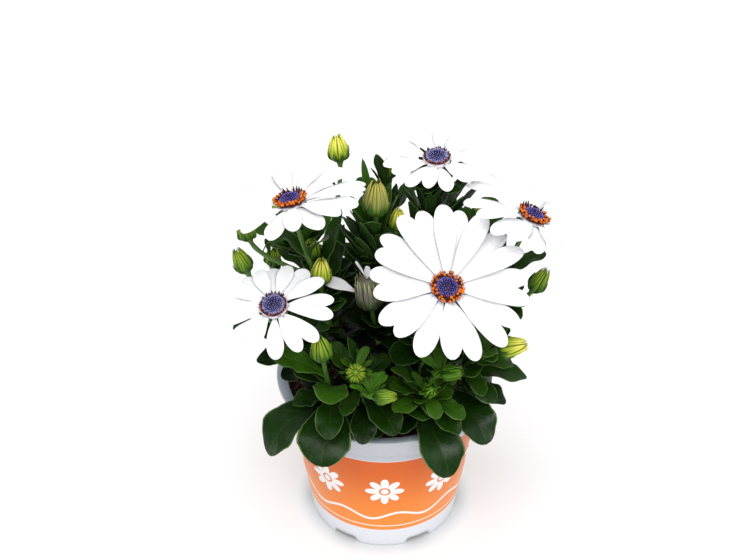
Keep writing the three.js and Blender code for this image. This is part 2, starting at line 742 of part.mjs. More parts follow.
/** The middle lines of a shoot's stem and of its other flower stalks. */
function shootCurves(shoot) {
  const start = new THREE.Vector3(...shoot.root, SOIL.top - SOIL.rootDepth);
  const tip = stalkEnd(shoot.tip);
  const main = { curve: stemCurve(start, point(shoot.out), tip.end, tip.axis), target: tip };
  const sides = shoot.sides.map((side) => {
    const target = stalkEnd(side);
    const from = main.curve.getPoint(side.from);
    const toHead = target.end.clone().sub(from).normalize();
    const out = main.curve.getTangent(side.from).lerp(toHead, STEM.branching);
    return { curve: stemCurve(from, out, target.end, target.axis), target };
  });
  return { main, sides };
}

/** The petals of a bloom, in its own frame, in two layers by turns; their number is even. */
function bloomPetals(bloom) {
  const rule = PETAL_RULE;
  const draw = new Draw(rule.seed + bloom.petals * 31 + Math.round(bloom.reach * 10));
  const within = (size) => draw.between(-size, size);
  const root = HEAD.hubRadius;
  return Array.from({ length: bloom.petals }, (_, i) => {
    const even = bloom.turn + (360 * i) / bloom.petals + within(rule.angle);
    const angle = even - bloom.crowd * Math.sin(radians(even - bloom.crowdTo));
    const side = bloom.lean * Math.cos(radians(angle - bloom.leanTo));
    const pinch = bloom.pinch * Math.cos(radians(2 * angle));
    const upper = i % 2;
    const reach = bloom.reach * (1 + side + pinch + within(rule.reach));
    return {
      root: new THREE.Vector3(
        root * Math.cos(radians(angle)), root * Math.sin(radians(angle)), HEAD.layers[upper]),
      azimuth: angle,
      pitch: [
        bloom.pitch[0] + rule.upperPitch * upper + within(rule.pitch[0]),
        bloom.pitch[1] + within(rule.pitch[1]),
      ],
      length: reach - root,
      width: bloom.width * (1 + within(rule.width)),
      roll: within(rule.roll),
    };
  });
}

/** The petals of an opening bud in its own frame: those in its mouth, then the one at its side. */
function budPetals(bud) {
  if (!bud.petals) return [];
  const mouth = new THREE.Vector3(0, 0, bud.long + GAP + BUD_SHAPE.petalLift);
  const petal = (root, [azimuth, from, to, length, width]) => (
    { root, azimuth, pitch: [from, to], length, width, roll: 0 });
  return [...bud.petals.map((shape) => petal(mouth, shape)), petal(point(bud.side.root), bud.side.blade)];
}

/** A leaf whose tip is given: it bends evenly, and later attempts raise, turn and shorten it. */
function leafTo(root, feature, attempt) {
  const rule = LEAF_RULE;
  const turn = radians((attempt % 2 ? 1 : -1) * Math.ceil(attempt / 2) * rule.featureTurn);
  const size = 1 - rule.shrink * attempt;
  const span = point(feature.tip).sub(root);
  span.applyAxisAngle(new THREE.Vector3(0, 0, 1), turn).multiplyScalar(size);
  span.z += rule.featureLift * attempt;
  const chord = span.length();
  const rise = THREE.MathUtils.radToDeg(Math.asin(span.z / chord));
  const half = radians(Math.abs(feature.bend) / 2);
  return {
    root,
    azimuth: THREE.MathUtils.radToDeg(Math.atan2(span.y, span.x)),
    pitch: [rise - feature.bend / 2, rise + feature.bend / 2],
    length: (chord * half) / Math.sin(half),
    width: feature.width * size,
    roll: feature.roll,
  };
}

/** A leaf by the rule of its height; later attempts turn it, raise it and make it smaller. */
function leafByRule(root, azimuth, draw, attempt) {
  const rule = LEAF_RULE;
  const { vary } = rule;
  const high = clamp((root.z - rule.lowest) / (rule.highest - rule.lowest), 0, 1);
  const turn = (attempt % 2 ? 1 : -1) * Math.ceil(attempt / 2) * rule.turn;
  const size = 1 - rule.shrink * attempt;
  const pitch = lerp(...rule.pitch, high) + draw.between(-vary.pitch, vary.pitch) + rule.raise * attempt;
  const bend = lerp(...rule.bend, high) * draw.between(...vary.bend);
  return {
    root,
    azimuth: azimuth + turn,
    pitch: [pitch - bend / 2, pitch + bend / 2],
    length: lerp(...rule.length, high) * size * draw.between(...vary.length),
    width: lerp(...rule.width, high) * size * draw.between(...vary.width),
    roll: draw.between(-vary.roll, vary.roll),
  };
}

/** Lays out stems, heads and leaves so that nothing of one shoot runs into another. */
function layPlant() {
  const room = new Room();
  const shoots = SHOOTS.map((shoot) => ({ ...shoot, ...shootCurves(shoot), blades: [] }));
  for (const shoot of shoots) {
    for (const { curve, target } of [shoot.main, ...shoot.sides]) {
      const count = Math.ceil(curve.getLength() / CLEARANCE.spacing);
      const points = Array.from({ length: count + 1 }, (_, i) => curve.getPoint(i / count));
      room.take(points, STEM.rootRadius, shoot.name, true);
      if (target.bud) {
        const { at, wide, long } = target.bud;
        const ends = [-0.25, 0, 0.25].map((k) => point(at).addScaledVector(target.axis, k * long));
        room.take(ends, wide / 2 + CLEARANCE.bud, 'heads');
        const matrix = budStance(target.bud);
        const spread = budPetals(target.bud).flatMap((petal) => bladePoints(petal, petalOutline));
        room.take(spread.map((p) => p.applyMatrix4(matrix)), CLEARANCE.petal, 'heads');
      }
    }
  }
  for (const bloom of BLOOMS) {
    const matrix = bloomStance(bloom);
    const points = bloomPetals(bloom).flatMap((petal) => bladePoints(petal, petalOutline));
    room.take(points.map((p) => p.applyMatrix4(matrix)), CLEARANCE.petal, 'heads');
    const cup = [-6, -3, 2].map((z) => new THREE.Vector3(0, 0, z).applyMatrix4(matrix));
    room.take(cup, HEAD.cupRadius, 'heads');
  }
  const place = (shoot, leaf) => {
    const points = bladePoints(leaf, leafOutline);
    const outer = points.filter((p) => p.distanceTo(leaf.root) > CLEARANCE.stalk);
    const isFree = (p) => !hitsPot(p)
      && room.isFree(p, CLEARANCE.blade, shoot.name, p.distanceTo(leaf.root) > CLEARANCE.fork);
    if (!outer.every(isFree)) return false;
    room.take(outer, CLEARANCE.blade, shoot.name);
    shoot.blades.push(leaf);
    return true;
  };
  for (const shoot of shoots) {
    for (const feature of shoot.features) {
      const root = shoot.main.curve.getPoint(feature.from);
      for (let attempt = 0; attempt < LEAF_RULE.tries; attempt++) {
        if (place(shoot, leafTo(root, feature, attempt))) break;
      }
    }
  }
  const most = Math.max(...shoots.map((shoot) => shoot.leaves));
  for (let round = 0; round < most; round++) {
    for (const shoot of shoots) {
      if (round >= shoot.leaves) continue;
      const draw = new Draw(shoot.seed * 1000 + round);
      const t = lerp(...shoot.leafy, (round + 0.5) / shoot.leaves);
      const root = shoot.main.curve.getPoint(t);
      const azimuth = shoot.seed * 20 + round * LEAF_RULE.goldenAngle;
      for (let attempt = 0; attempt < LEAF_RULE.tries; attempt++) {
        if (place(shoot, leafByRule(root, azimuth, draw, attempt))) break;
      }
    }
  }
  return shoots;
}

// ---- Pieces ------------------------------------------------------------------------------------------

/**
 * The pot: thin wall, flared collar with a broad rim, raised underside round a flat pad, notched foot and
 * drain holes.
 */
function potMesh() {
  const { height, wall, floor, collarBase, collarStep, collarRise, lip, lipStep, recess } = POT;
  const { rimRadius, rimWidth, rimDrop, footRadius, footWidth, taper } = POT;
  const radiusAt = (z) => footRadius + taper * z;
  const collarFoot = radiusAt(collarBase) + collarStep;
  const profile = [
    [0, 0], [POT.padRadius, 0], [POT.padRadius + recess, recess],
    [footRadius - footWidth - recess, recess], [footRadius - footWidth, 0], [footRadius, 0],
    [radiusAt(collarBase), collarBase], [collarFoot, collarBase + collarRise],
    [rimRadius - lipStep, height - lip - lipStep], [rimRadius, height - lip],
    [rimRadius, height], [rimRadius - rimWidth, height - rimDrop],
    [radiusAt(collarBase) - wall, collarBase], [radiusAt(floor) - wall, floor + recess],
    [0, floor + recess],
  ].map(([r, z]) => new THREE.Vector2(r, z));
  let pot = solid(new THREE.LatheGeometry(profile, POT.sides).rotateX(Math.PI / 2));
  for (let i = 0; i < POT.footNotches; i++) {
    const angle = ((i + 0.5) * 2 * Math.PI) / POT.footNotches + radians(POT.notchTurn - 90);
    const notch = new THREE.BoxGeometry(4 * POT.notchDepth, POT.notchWidth, POT.notchHeight * 2);
    notch.translate(footRadius + POT.notchDepth, 0, 0).rotateZ(angle);
    pot = pot.subtract(solid(notch));
  }
  for (let i = 0; i < POT.drainHoles; i++) {
    const angle = (i * 2 * Math.PI) / POT.drainHoles;
    const drill = new THREE.CylinderGeometry(POT.drainRadius, POT.drainRadius, 6 * floor, 8);
    drill.rotateX(Math.PI / 2);
    drill.translate(POT.drainCircle * Math.cos(angle), POT.drainCircle * Math.sin(angle), 0);
    pot = pot.subtract(solid(drill));
  }
  return mesh('pot', geometryOf(pot), FINISH.pot);
}

/** The soil: it fills the pot, with a lumpy top and a hole for each shoot. */
function soilMesh(shoots) {
  const { wall, floor, recess, footRadius, taper, collarBase } = POT;
  const inner = (z) => (footRadius + taper * z - wall) * Math.cos(Math.PI / POT.sides) - GAP;
  const bottom = floor + recess + GAP;
  const shoulder = collarBase - 2 * GAP;
  const level = () => 0;
  const lump = (phase) => (j) => SOIL.relief * Math.sin(2.7 * j + phase);
  const rows = [
    circle(inner(bottom), bottom, SOIL.sides),
    circle(inner(shoulder), shoulder, SOIL.sides),
    circle(inner(shoulder), SOIL.top - SOIL.edgeDrop, SOIL.sides),
    ...SOIL.lumps.map(([radius, phase]) => circle(radius, SOIL.top, SOIL.sides, level, lump(phase))),
    [new THREE.Vector3(0, 0, SOIL.top)],
  ];
  let soil = solid(loft(rows));
  for (const shoot of shoots) {
    const { curve } = shoot.main;
    const places = placesAlong(curve, 2).slice(0, 2);
    const wide = STEM.rootRadius + 1.4 * GAP;
    const hole = rings(curve, places, [wide, wide], STEM.sides);
    const along = hole[1][0].clone().sub(hole[0][0]).normalize();
    hole[0].forEach((p) => p.addScaledVector(along, -GAP));
    hole[1].forEach((p) => p.addScaledVector(along, 1));
    soil = soil.subtract(solid(loft(hole)));
  }
  return mesh('soil', geometryOf(soil), FINISH.soil);
}

/** The green cup of bracts under an open bloom, in the bloom's frame. */
function cupGeometry() {
  const count = HEAD.bracts * 2;
  const bract = (j) => (j % 2 ? -0.5 : 0.9);
  return loft([
    circle(STEM.stalkRadius, -HEAD.cupDepth, count),
    circle(HEAD.cupRadius - 1.2, -HEAD.cupDepth + 3.6, count),
    circle(HEAD.cupRadius, -GAP - 0.5, count, bract),
    [new THREE.Vector3(0, 0, -GAP)],
  ]);
}

/** A leafy shoot: stem, flower stalks, leaves and the cups of its open blooms in one body. */
function shootMesh(shoot) {
  const pieces = [];
  const places = placesAlong(shoot.main.curve, STEM.steps);
  const taper = (t) => lerp(STEM.rootRadius, STEM.stalkRadius, Math.min(1, t * STEM.thinning));
  const ending = (radii, target) => (target.bud ? [...radii.slice(0, -1), STEM.budRadius] : radii);
  const mainRadii = ending(places.map(taper), shoot.main.target);
  pieces.push(loft(rings(shoot.main.curve, places, mainRadii, STEM.sides)));
  for (const side of shoot.sides) {
    const along = Array.from({ length: STEM.sideSteps }, (_, i) => i / (STEM.sideSteps - 1));
    const radii = ending(along.map(() => STEM.stalkRadius), side.target);
    pieces.push(loft(rings(side.curve, along, radii, STEM.sides)));
  }
  for (const { target } of [shoot.main, ...shoot.sides]) {
    if (target.bloom) pieces.push(cupGeometry().applyMatrix4(bloomStance(target.bloom)));
  }
  for (const blade of shoot.blades) pieces.push(leafGeometry(blade));
  return mesh(`shoot_${shoot.name}`, geometryOf(fuse(pieces)), FINISH.leaf);
}

/** The dome of disc florets of a full-grown bloom, in its frame. */
function domeGeometry() {
  const { domeSides, domeRadius, domeHeight, hubHeight } = HEAD;
  const base = hubHeight + GAP;
  const floret = (row) => (j) => HEAD.floret[(j + row) % 2];
  const rows = HEAD.domeRows.map((share, row) => {
    const turn = (share * Math.PI) / 2;
    const radius = domeRadius * Math.cos(turn) ** 0.7 - GAP;
    return circle(radius, base + domeHeight * Math.sin(turn), domeSides, floret(row), floret(row));
  });
  const apex = [new THREE.Vector3(0, 0, base + domeHeight)];
  return loft([circle(domeRadius - GAP, base, domeSides), ...rows, apex]);
}

/** The ring of anthers round the dome, tall and low by turns, in the frame of a full-grown bloom. */
function antherGeometry() {
  const { antherSections, antherInner, antherOuter, antherHeight, hubHeight } = HEAD;
  return hoop(Array.from({ length: antherSections }, (_, i) => {
    const angle = (2 * Math.PI * i) / antherSections;
    const section = i % 2
      ? [[antherInner, 0], [antherOuter, 0.1], [antherOuter - 0.9, antherHeight]]
      : [[antherInner, 0], [antherOuter - 0.6, 0], [antherOuter - 1.4, antherHeight * 0.55]];
    return section.map(([r, z]) => new THREE.Vector3(
      r * Math.cos(angle), r * Math.sin(angle), hubHeight + GAP + z));
  }));
}

/** An open bloom: its wreath of petals, the ring of anthers and the dome of florets. */
function bloomGroup(bloom) {
  const group = new THREE.Group();
  bloomStance(bloom).decompose(group.position, group.quaternion, group.scale);
  const base = HEAD.hubHeight + GAP;
  const toSize = new THREE.Matrix4().makeScale(bloom.disc, bloom.disc, bloom.disc)
    .setPosition(0, 0, base * (1 - bloom.disc));
  group.add(mesh(`petals_${bloom.name}`, petalWreath(bloomPetals(bloom)), FINISH.petal));
  group.add(mesh(`disc_${bloom.name}`, domeGeometry().applyMatrix4(toSize), FINISH.dome));
  group.add(mesh(`anthers_${bloom.name}`, antherGeometry().applyMatrix4(toSize), FINISH.anther));
  return group;
}

/** A bud: bracts side by side, drawn in to a point, or parted where it is opening. */
function budMesh(name, bud) {
  const ridge = (size) => (j) => (j % 2 ? -size : size);
  const radius = bud.wide / 2;
  const shape = bud.petals ? BUD_SHAPE.parted : BUD_SHAPE.closed;
  const rows = shape.map(([z, r, k]) => circle(radius * r, bud.long * z, BUD_SHAPE.sides, ridge(radius * k)));
  if (!bud.petals) rows.push([new THREE.Vector3(0, 0, bud.long)]);
  const made = mesh(`bud_${name}`, loft(rows), bud.petals ? FINISH.parted : FINISH.bud);
  budStance(bud).decompose(made.position, made.quaternion, made.scale);
  return made;
}

/** The first petals of an opening bud: those on a small core in its mouth, and the one at its side. */
function firstPetals(name, bud) {
  const base = bud.long + GAP;
  const [foot, top, high] = BUD_SHAPE.core;
  const radius = bud.wide / 2;
  const core = loft([
    circle(radius * foot, base, BUD_SHAPE.sides), circle(radius * top, base + high, BUD_SHAPE.sides),
  ]);
  const petals = budPetals(bud).map((petal) => loft(petalRings(petal), (j) => j % 2 === 1));
  const side = petals.pop();
  const pieces = [
    mesh(`petals_${name}`, geometryOf(fuse([core, ...petals])), FINISH.petal),
    mesh(`petal_side_${name}`, geometryOf(solid(side)), FINISH.petal),
  ];
  pieces.forEach((made) => budStance(bud).decompose(made.position, made.quaternion, made.scale));
  return pieces;
}

const group = new THREE.Group();
const shoots = layPlant();
group.add(potMesh(), soilMesh(shoots));
shoots.forEach((shoot) => group.add(shootMesh(shoot)));
BLOOMS.forEach((bloom) => group.add(bloomGroup(bloom)));
for (const [name, bud] of Object.entries(BUDS)) {
  group.add(budMesh(name, bud));
  if (bud.petals) group.add(...firstPetals(name, bud));
}

export default group;
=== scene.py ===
"""Looks for a potted African daisy: its pot, soil, leafy shoots, open blooms and buds.

The plant is laid out in millimetres by the same rules as its solids, so that every finer piece stands where
its solid does, and Blender gets metres. +Z is up, -Y is the front, and the origin is under the pot.
"""
from __future__ import annotations

import logging
import math
from dataclasses import dataclass, field
from enum import Enum
from typing import Callable, Optional, Sequence, Union

import bpy
import numpy as np
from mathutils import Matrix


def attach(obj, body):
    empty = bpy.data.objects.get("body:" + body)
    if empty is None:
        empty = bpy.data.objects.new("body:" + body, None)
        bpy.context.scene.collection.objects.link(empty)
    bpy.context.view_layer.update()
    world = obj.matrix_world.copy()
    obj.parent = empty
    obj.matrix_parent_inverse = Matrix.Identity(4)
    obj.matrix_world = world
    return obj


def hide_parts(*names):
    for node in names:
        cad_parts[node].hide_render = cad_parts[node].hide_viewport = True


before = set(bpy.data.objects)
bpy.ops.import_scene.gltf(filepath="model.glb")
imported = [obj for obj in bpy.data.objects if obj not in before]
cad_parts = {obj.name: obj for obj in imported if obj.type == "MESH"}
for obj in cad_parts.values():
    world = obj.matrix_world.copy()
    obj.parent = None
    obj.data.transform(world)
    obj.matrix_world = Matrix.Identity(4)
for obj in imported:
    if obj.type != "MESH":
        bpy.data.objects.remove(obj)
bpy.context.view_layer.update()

LOG = logging.getLogger("african_daisy")
MM = 0.001
GAP = 0.3
TURN = 2 * math.pi
Array = np.ndarray
Triple = tuple[float, float, float]
Pair = tuple[float, float]


# ---- Options


class DiscStage(Enum):
    """How far the florets of a bloom's disc have opened."""

    YOUNG = "young"
    MATURE = "mature"


class BudKind(Enum):
    """The colouring of a bud."""

    GREEN = "green"
    YELLOW = "yellow"
    STRIPED = "striped"
    OPENING = "opening"
    LEAFY = "leafy"


# ---- The plant's own sizes, in millimetres and degrees


@dataclass(frozen=True)
class Bloom:
    """An open bloom: middle of its disc, where it faces, and how its petals stand."""

    name: str
    at: Triple
    facing: Triple
    petals: int
    reach: float
    lean: float
    lean_to: float
    pinch: float
    crowd: float
    crowd_to: float
    width: float
    pitch: Pair
    turn: float
    disc: float
    stage: DiscStage


@dataclass(frozen=True)
class FirstPetal:
    """A petal that an opening bud already shows, with its root in the bud's own frame."""

    root: Triple
    azimuth: float
    pitch: Pair
    length: float
    width: float


@dataclass(frozen=True)
class Bud:
    """A bud: its middle, where its tip points, its diameter and its length."""

    at: Triple
    facing: Triple
    wide: float
    long: float
    kind: BudKind
    petals: tuple[FirstPetal, ...] = ()


@dataclass(frozen=True)
class Feature:
    """A leaf that stands out: place on the stem, tip, bend, width and roll."""

    start: float
    tip: Triple
    bend: float
    width: float
    roll: float = 0.0


@dataclass(frozen=True)
class Shoot:
    """A leafy shoot: root, first direction, what its tip and side stalks carry, and its leaves."""

    name: str
    root: Pair
    out: Triple
    tip: str
    sides: tuple[tuple[str, float], ...]
    leaves: int
    leafy: Pair
    seed: int
    features: tuple[Feature, ...] = ()


BLOOMS: dict[str, Bloom] = {
    bloom.name: bloom
    for bloom in (
        Bloom("front_right", (28.9, -38, 171.8), (0.12, -0.44, 0.89), 20, 40, 0.12, 64, -0.03, 13, 95,
              10.6, (9, -16), 4, 1.0, DiscStage.MATURE),
        Bloom("left_back", (-45, -5, 199.2), (-0.19, 0.1, 0.98), 18, 35.5, 0.02, 90, 0.06, 8, 20,
              9.8, (14, -10), 8, 1.0, DiscStage.MATURE),
        Bloom("left_front", (-52.8, -38, 161.7), (-0.09, -0.35, 0.93), 16, 26, 0.12, 300, 0.04, 6, 90,
              8.2, (8, -10), 0, 0.82, DiscStage.YOUNG),
        Bloom("back_right", (25.2, 30, 200.2), (0, -0.07, 0.99), 16, 24.5, 0.1, 250, 0.02, 0, 0,
              8, (15, -8), 12, 0.82, DiscStage.YOUNG),
        Bloom("right", (71.9, 6, 182.2), (0.38, 0.08, 0.92), 16, 32, 0.15, 150, 0, 6, 200,
              9.6, (14, -22), 6, 1.0, DiscStage.MATURE),
    )
}

BUDS: dict[str, Bud] = {
    "crown_left": Bud((-23, 36, 200.6), (-0.1, 0, 1), 10, 14, BudKind.YELLOW),
    "tall": Bud((-4.4, 5, 192.5), (0.02, -0.12, 1), 12.4, 20, BudKind.STRIPED),
    "behind": Bud((6.2, 10, 176), (0.1, 0, 1), 7.6, 12, BudKind.YELLOW),
    "far_left": Bud((-68.8, -15, 169.9), (-0.35, 0, 0.94), 8.2, 13, BudKind.GREEN),
    "left_small": Bud((-55, 4, 158), (0.1, -0.1, 1), 7.2, 9, BudKind.GREEN),
    "mid_small": Bud((-36, 8, 160), (0.1, 0, 1), 8.4, 10, BudKind.GREEN),
    "mid_yellow": Bud((-31.1, -6, 156.5), (0.05, 0, 1), 9.6, 14, BudKind.YELLOW),
    "low_left": Bud((-30.7, -45, 140.5), (-0.12, -0.12, 1), 10, 14, BudKind.GREEN),
    "low_front": Bud((-13.9, -52, 130.8), (0, -0.72, 0.68), 9, 9, BudKind.GREEN),
    "opening": Bud((-7.8, -12, 147.6), (-0.12, -0.1, 1), 13, 17, BudKind.OPENING,
                   (FirstPetal((0, 0, 18.1), 190, (76, 68), 13, 4),
                    FirstPetal((0, 0, 18.1), 40, (78, 62), 7, 4.5),
                    FirstPetal((-6.6, 2.4, 7.8), 153, (17, -1), 18, 7.6))),
    "right_green": Bud((76.2, 0, 146.5), (0.45, 0, 0.9), 8.2, 14, BudKind.GREEN),
    "right_yellow": Bud((61.8, -32, 130.4), (0.9, -0.15, 0.35), 9.8, 14, BudKind.YELLOW),
    "front_green": Bud((0.3, -58, 121), (0.85, -0.3, 0.3), 6.4, 11, BudKind.GREEN),
    "shoot_tip": Bud((21.5, -55, 122.5), (0.15, -0.6, 0.78), 6.6, 10, BudKind.LEAFY),
    "shoot_side": Bud((32, -50, 129), (0.8, -0.3, 0.4), 6.4, 11, BudKind.LEAFY),
    "cup_left": Bud((-66.5, -5, 180.3), (-0.25, 0, 0.97), 9, 9, BudKind.GREEN),
    "rear_left": Bud((-52, 38, 166), (-0.3, 0.3, 0.9), 9, 13, BudKind.YELLOW),
    "rear": Bud((2, 44, 183), (0, 0.1, 1), 7, 10, BudKind.GREEN),
    "rear_right": Bud((50, 42, 158), (0.3, 0.3, 0.9), 8.4, 12, BudKind.YELLOW),
}

SHOOTS: tuple[Shoot, ...] = (
    Shoot("front_right", (9, -11), (0.25, -0.3, 1), "front_right", (), 12, (0.16, 0.66), 11),
    Shoot("left_back", (-13, 5), (-0.26, 0.46, 1), "left_back",
          (("crown_left", 0.5), ("cup_left", 0.58), ("mid_small", 0.42)), 13, (0.14, 0.8), 23,
          (Feature(0.6, (-21.4, 5, 173), -12, 9),)),
    Shoot("left", (-19, -5), (-0.45, -0.2, 1), "left_front", (("far_left", 0.5), ("left_small", 0.42)),
          11, (0.16, 0.7), 37,
          (Feature(0.36, (-62.4, -30, 119), -50, 14), Feature(0.26, (-51, -25, 104), -50, 14))),
    Shoot("back_right", (10, 10), (0.1, 0.2, 1), "back_right", (), 14, (0.16, 0.84), 41,
          (Feature(0.74, (46, 22, 189), -20, 9, 10),)),
    Shoot("right", (20, 1), (0.5, 0, 1), "right", (("right_green", 0.45),), 9, (0.16, 0.74), 53,
          (Feature(0.5, (68.5, -16, 143), -40, 14), Feature(0.38, (66, -14, 129), -40, 13),
           Feature(0.68, (55.5, 12, 171), -15, 9))),
    Shoot("back", (-2, 9), (0, 0.05, 1), "tall", (("behind", 0.5),), 14, (0.16, 0.84), 67,
          (Feature(0.6, (-11.2, 3, 172), -12, 9),)),
    Shoot("mid_left", (-9, -3), (-0.25, 0, 1), "mid_yellow", (), 13, (0.16, 0.86), 71),
    Shoot("low_left", (-19, -17), (-0.35, -0.6, 1), "low_left", (), 6, (0.3, 0.8), 83,
          (Feature(0.32, (-31, -64, 81), -76, 27, 2), Feature(0.22, (-58, -46, 73), -112, 24),
           Feature(0.46, (-27.5, -61, 96), -60, 14), Feature(0.44, (-45, -41, 101), -40, 12),
           Feature(0.62, (-42, -31, 122), -30, 9))),
    Shoot("low_front", (-6, -22), (-0.1, -0.7, 1), "low_front", (("front_green", 0.6),), 6, (0.2, 0.8), 97,
          (Feature(0.62, (-20, -57, 108), -30, 9), Feature(0.48, (5, -62, 100), -60, 16),
           Feature(0.36, (-13, -62, 92), -60, 14), Feature(0.7, (-18, -38, 141), -10, 8))),
    Shoot("centre", (1, -8), (0, -0.1, 1), "opening", (), 13, (0.2, 0.76), 101),
    Shoot("low_right", (13, -22), (0.1, -0.7, 1), "shoot_tip", (("shoot_side", 0.62),), 5, (0.3, 0.9), 113,
          (Feature(0.36, (31, -66, 76), -85, 23, -4), Feature(0.3, (12, -63, 89), -60, 16),
           Feature(0.86, (25, -63, 111), -50, 8), Feature(0.7, (38, -58, 107), -50, 11),
           Feature(0.52, (36, -59, 98), -50, 12), Feature(0.78, (2.7, -50, 131), -50, 10))),
    Shoot("far_right", (23, -11), (0.6, -0.35, 1), "right_yellow", (), 5, (0.3, 0.85), 127,
          (Feature(0.5, (70.3, -24, 104), -35, 14), Feature(0.66, (63, -25, 112.5), -35, 9),
           Feature(0.58, (47.5, -46, 111), -40, 9), Feature(0.44, (53.5, -41, 102), -50, 13),
           Feature(0.26, (50, -49, 82), -74, 21), Feature(0.3, (60, -30, 92), -60, 14))),
    Shoot("rear_left", (-15, 17), (-0.5, 0.4, 1), "rear_left", (), 11, (0.14, 0.84), 139),
    Shoot("rear", (0, 21), (0, 0.6, 1), "rear", (), 12, (0.14, 0.84), 149,
          (Feature(0.8, (-4, 32, 199), -12, 8),)),
    Shoot("rear_right", (19, 15), (0.5, 0.5, 1), "rear_right", (), 10, (0.14, 0.84), 157),
)

# Heads whose stalks end in a tuft of young leaves, and the leaves that stand up between the blooms.
TUFTED = ("front_green", "shoot_tip", "shoot_side", "low_front")
CROWN_LEAVES: dict[str, tuple[Feature, ...]] = {
    "back": (
        Feature(0.74, (-11, 24, 202), -14, 4.5), Feature(0.62, (-17, 2, 190), -16, 8),
        Feature(0.5, (-20, -2, 177), -20, 9), Feature(0.52, (-14, -6, 177), -20, 8),
        Feature(0.46, (-25, 0, 172), -24, 9), Feature(0.7, (3, 14, 195), -14, 8),
        Feature(0.66, (6, 8, 191), -14, 8), Feature(0.6, (-12, -4, 184), -16, 7),
        Feature(0.6, (-17, 6, 184), -20, 10), Feature(0.54, (-21, 8, 179), -24, 10),
        Feature(0.5, (-24, 10, 174), -26, 10), Feature(0.7, (-17, 18, 184), -16, 8),
        Feature(0.6, (-19, 14, 175), -18, 9), Feature(0.5, (-11, 6, 170), -20, 10),
        Feature(0.7, (3, 18, 184), -14, 6)),
    "back_right": (
        Feature(0.6, (9, 20, 188), -14, 8), Feature(0.62, (14, 24, 190), -14, 8),
        Feature(0.66, (18, 22, 189), -14, 8), Feature(0.64, (22, 20, 184), -14, 7),
        Feature(0.66, (27, 22, 185), -14, 8), Feature(0.62, (35, 28, 185), -18, 8),
        Feature(0.66, (41, 28, 186), -18, 8), Feature(0.58, (46, 24, 185), -20, 9),
        Feature(0.56, (38, 18, 184), -18, 8), Feature(0.54, (31, 16, 181), -16, 8),
        Feature(0.54, (12, 14, 184), -14, 8), Feature(0.6, (10.5, 26, 181), -14, 9),
        Feature(0.58, (14, 26, 179), -14, 9)),
    "rear": (
        Feature(0.84, (-7, 38, 187), -18, 7), Feature(0.6, (5.5, 36, 179), -10, 9),
        Feature(0.56, (3, 34, 175), -10, 9), Feature(0.58, (8.5, 34, 174), -12, 9)),
    "rear_left": (
        Feature(0.7, (-50.5, 26, 155), -20, 9), Feature(0.68, (-44.5, 28, 151), -16, 6),
        Feature(0.8, (-41.5, 30, 157), -14, 5), Feature(0.5, (-29.3, 26, 153), -20, 11),
        Feature(0.6, (-35, 28, 150), -16, 8)),
    "right": (
        Feature(0.62, (54, 6, 175), -16, 8), Feature(0.6, (50, 10, 179), -16, 8),
        Feature(0.56, (42, 12, 181), -16, 8)),
    "left_back": (
        Feature(0.6, (-22, 20, 176), -16, 8),
        Feature(0.46, (-21, 14, 165), -18, 11), Feature(0.44, (-20, 14, 170), -16, 9)),
}


@dataclass(frozen=True)
class PotSize:
    """Sizes of the grower pot."""

    rim_radius: float = 55.0
    height: float = 88.0
    foot_radius: float = 38.0
    foot_width: float = 4.2
    taper: float = 0.158
    wall: float = 1.2
    floor: float = 1.6
    collar_base: float = 74.8
    collar_step: float = 1.5
    collar_rise: float = 0.9
    lip: float = 1.4
    lip_step: float = 0.7
    rim_width: float = 5.6
    rim_drop: float = 0.8
    pad_radius: float = 16.0
    recess: float = 0.8
    notches: int = 6
    notch_width: float = 13.5
    notch_height: float = 3.5
    notch_turn: float = -2.5
    band: Pair = (13.7, 69.9)

    def radius(self, z: float) -> float:
        """The outer radius of the wall at a height."""
        return self.foot_radius + self.taper * z


@dataclass(frozen=True)
class SoilSize:
    """Sizes of the soil's top."""

    top: float = 79.0
    edge_drop: float = 0.8
    root_depth: float = 7.0


@dataclass(frozen=True)
class StemSize:
    """Sizes and handles of stems and stalks."""

    root_radius: float = 2.1
    stalk_radius: float = 1.15
    bud_radius: float = 2.1
    thinning: float = 1.3
    set_out: float = 0.38
    arrive: float = 0.3
    branching: float = 0.55
    clear: float = 2.4


@dataclass(frozen=True)
class HeadSize:
    """Sizes of an open bloom's middle."""

    hub_radius: float = 6.0
    layers: Pair = (0.5, 1.6)
    hub_height: float = 2.4
    cup_depth: float = 8.0
    cup_radius: float = 6.2
    stalk_in_cup: float = 0.6
    disc_lift: float = 4.0


@dataclass(frozen=True)
class PetalRule:
    """How much the petals of a bloom differ."""

    seed: int = 7919
    angle: float = 2.4
    reach: float = 0.03
    pitch: Pair = (0.7, 1.5)
    width: float = 0.06
    roll: float = 3.0
    upper_pitch: float = 5.0


@dataclass(frozen=True)
class LeafRule:
    """Leaves by height, how much they differ, and how a leaf that has no room is tried again."""

    lowest: float = 84.0
    highest: float = 165.0
    length: Pair = (40, 25)
    width: Pair = (21, 10)
    pitch: Pair = (4, 52)
    bend: Pair = (-52, -30)
    golden_angle: float = 137.5
    vary_pitch: float = 10.0
    vary_bend: Pair = (0.7, 1.2)
    vary_length: Pair = (0.88, 1.08)
    vary_width: Pair = (0.9, 1.1)
    vary_roll: float = 16.0
    tries: int = 20
    shrink: float = 0.03
    turn: float = 9.0
    raise_by: float = 2.6
    feature_turn: float = 4.0
    feature_lift: float = 1.2


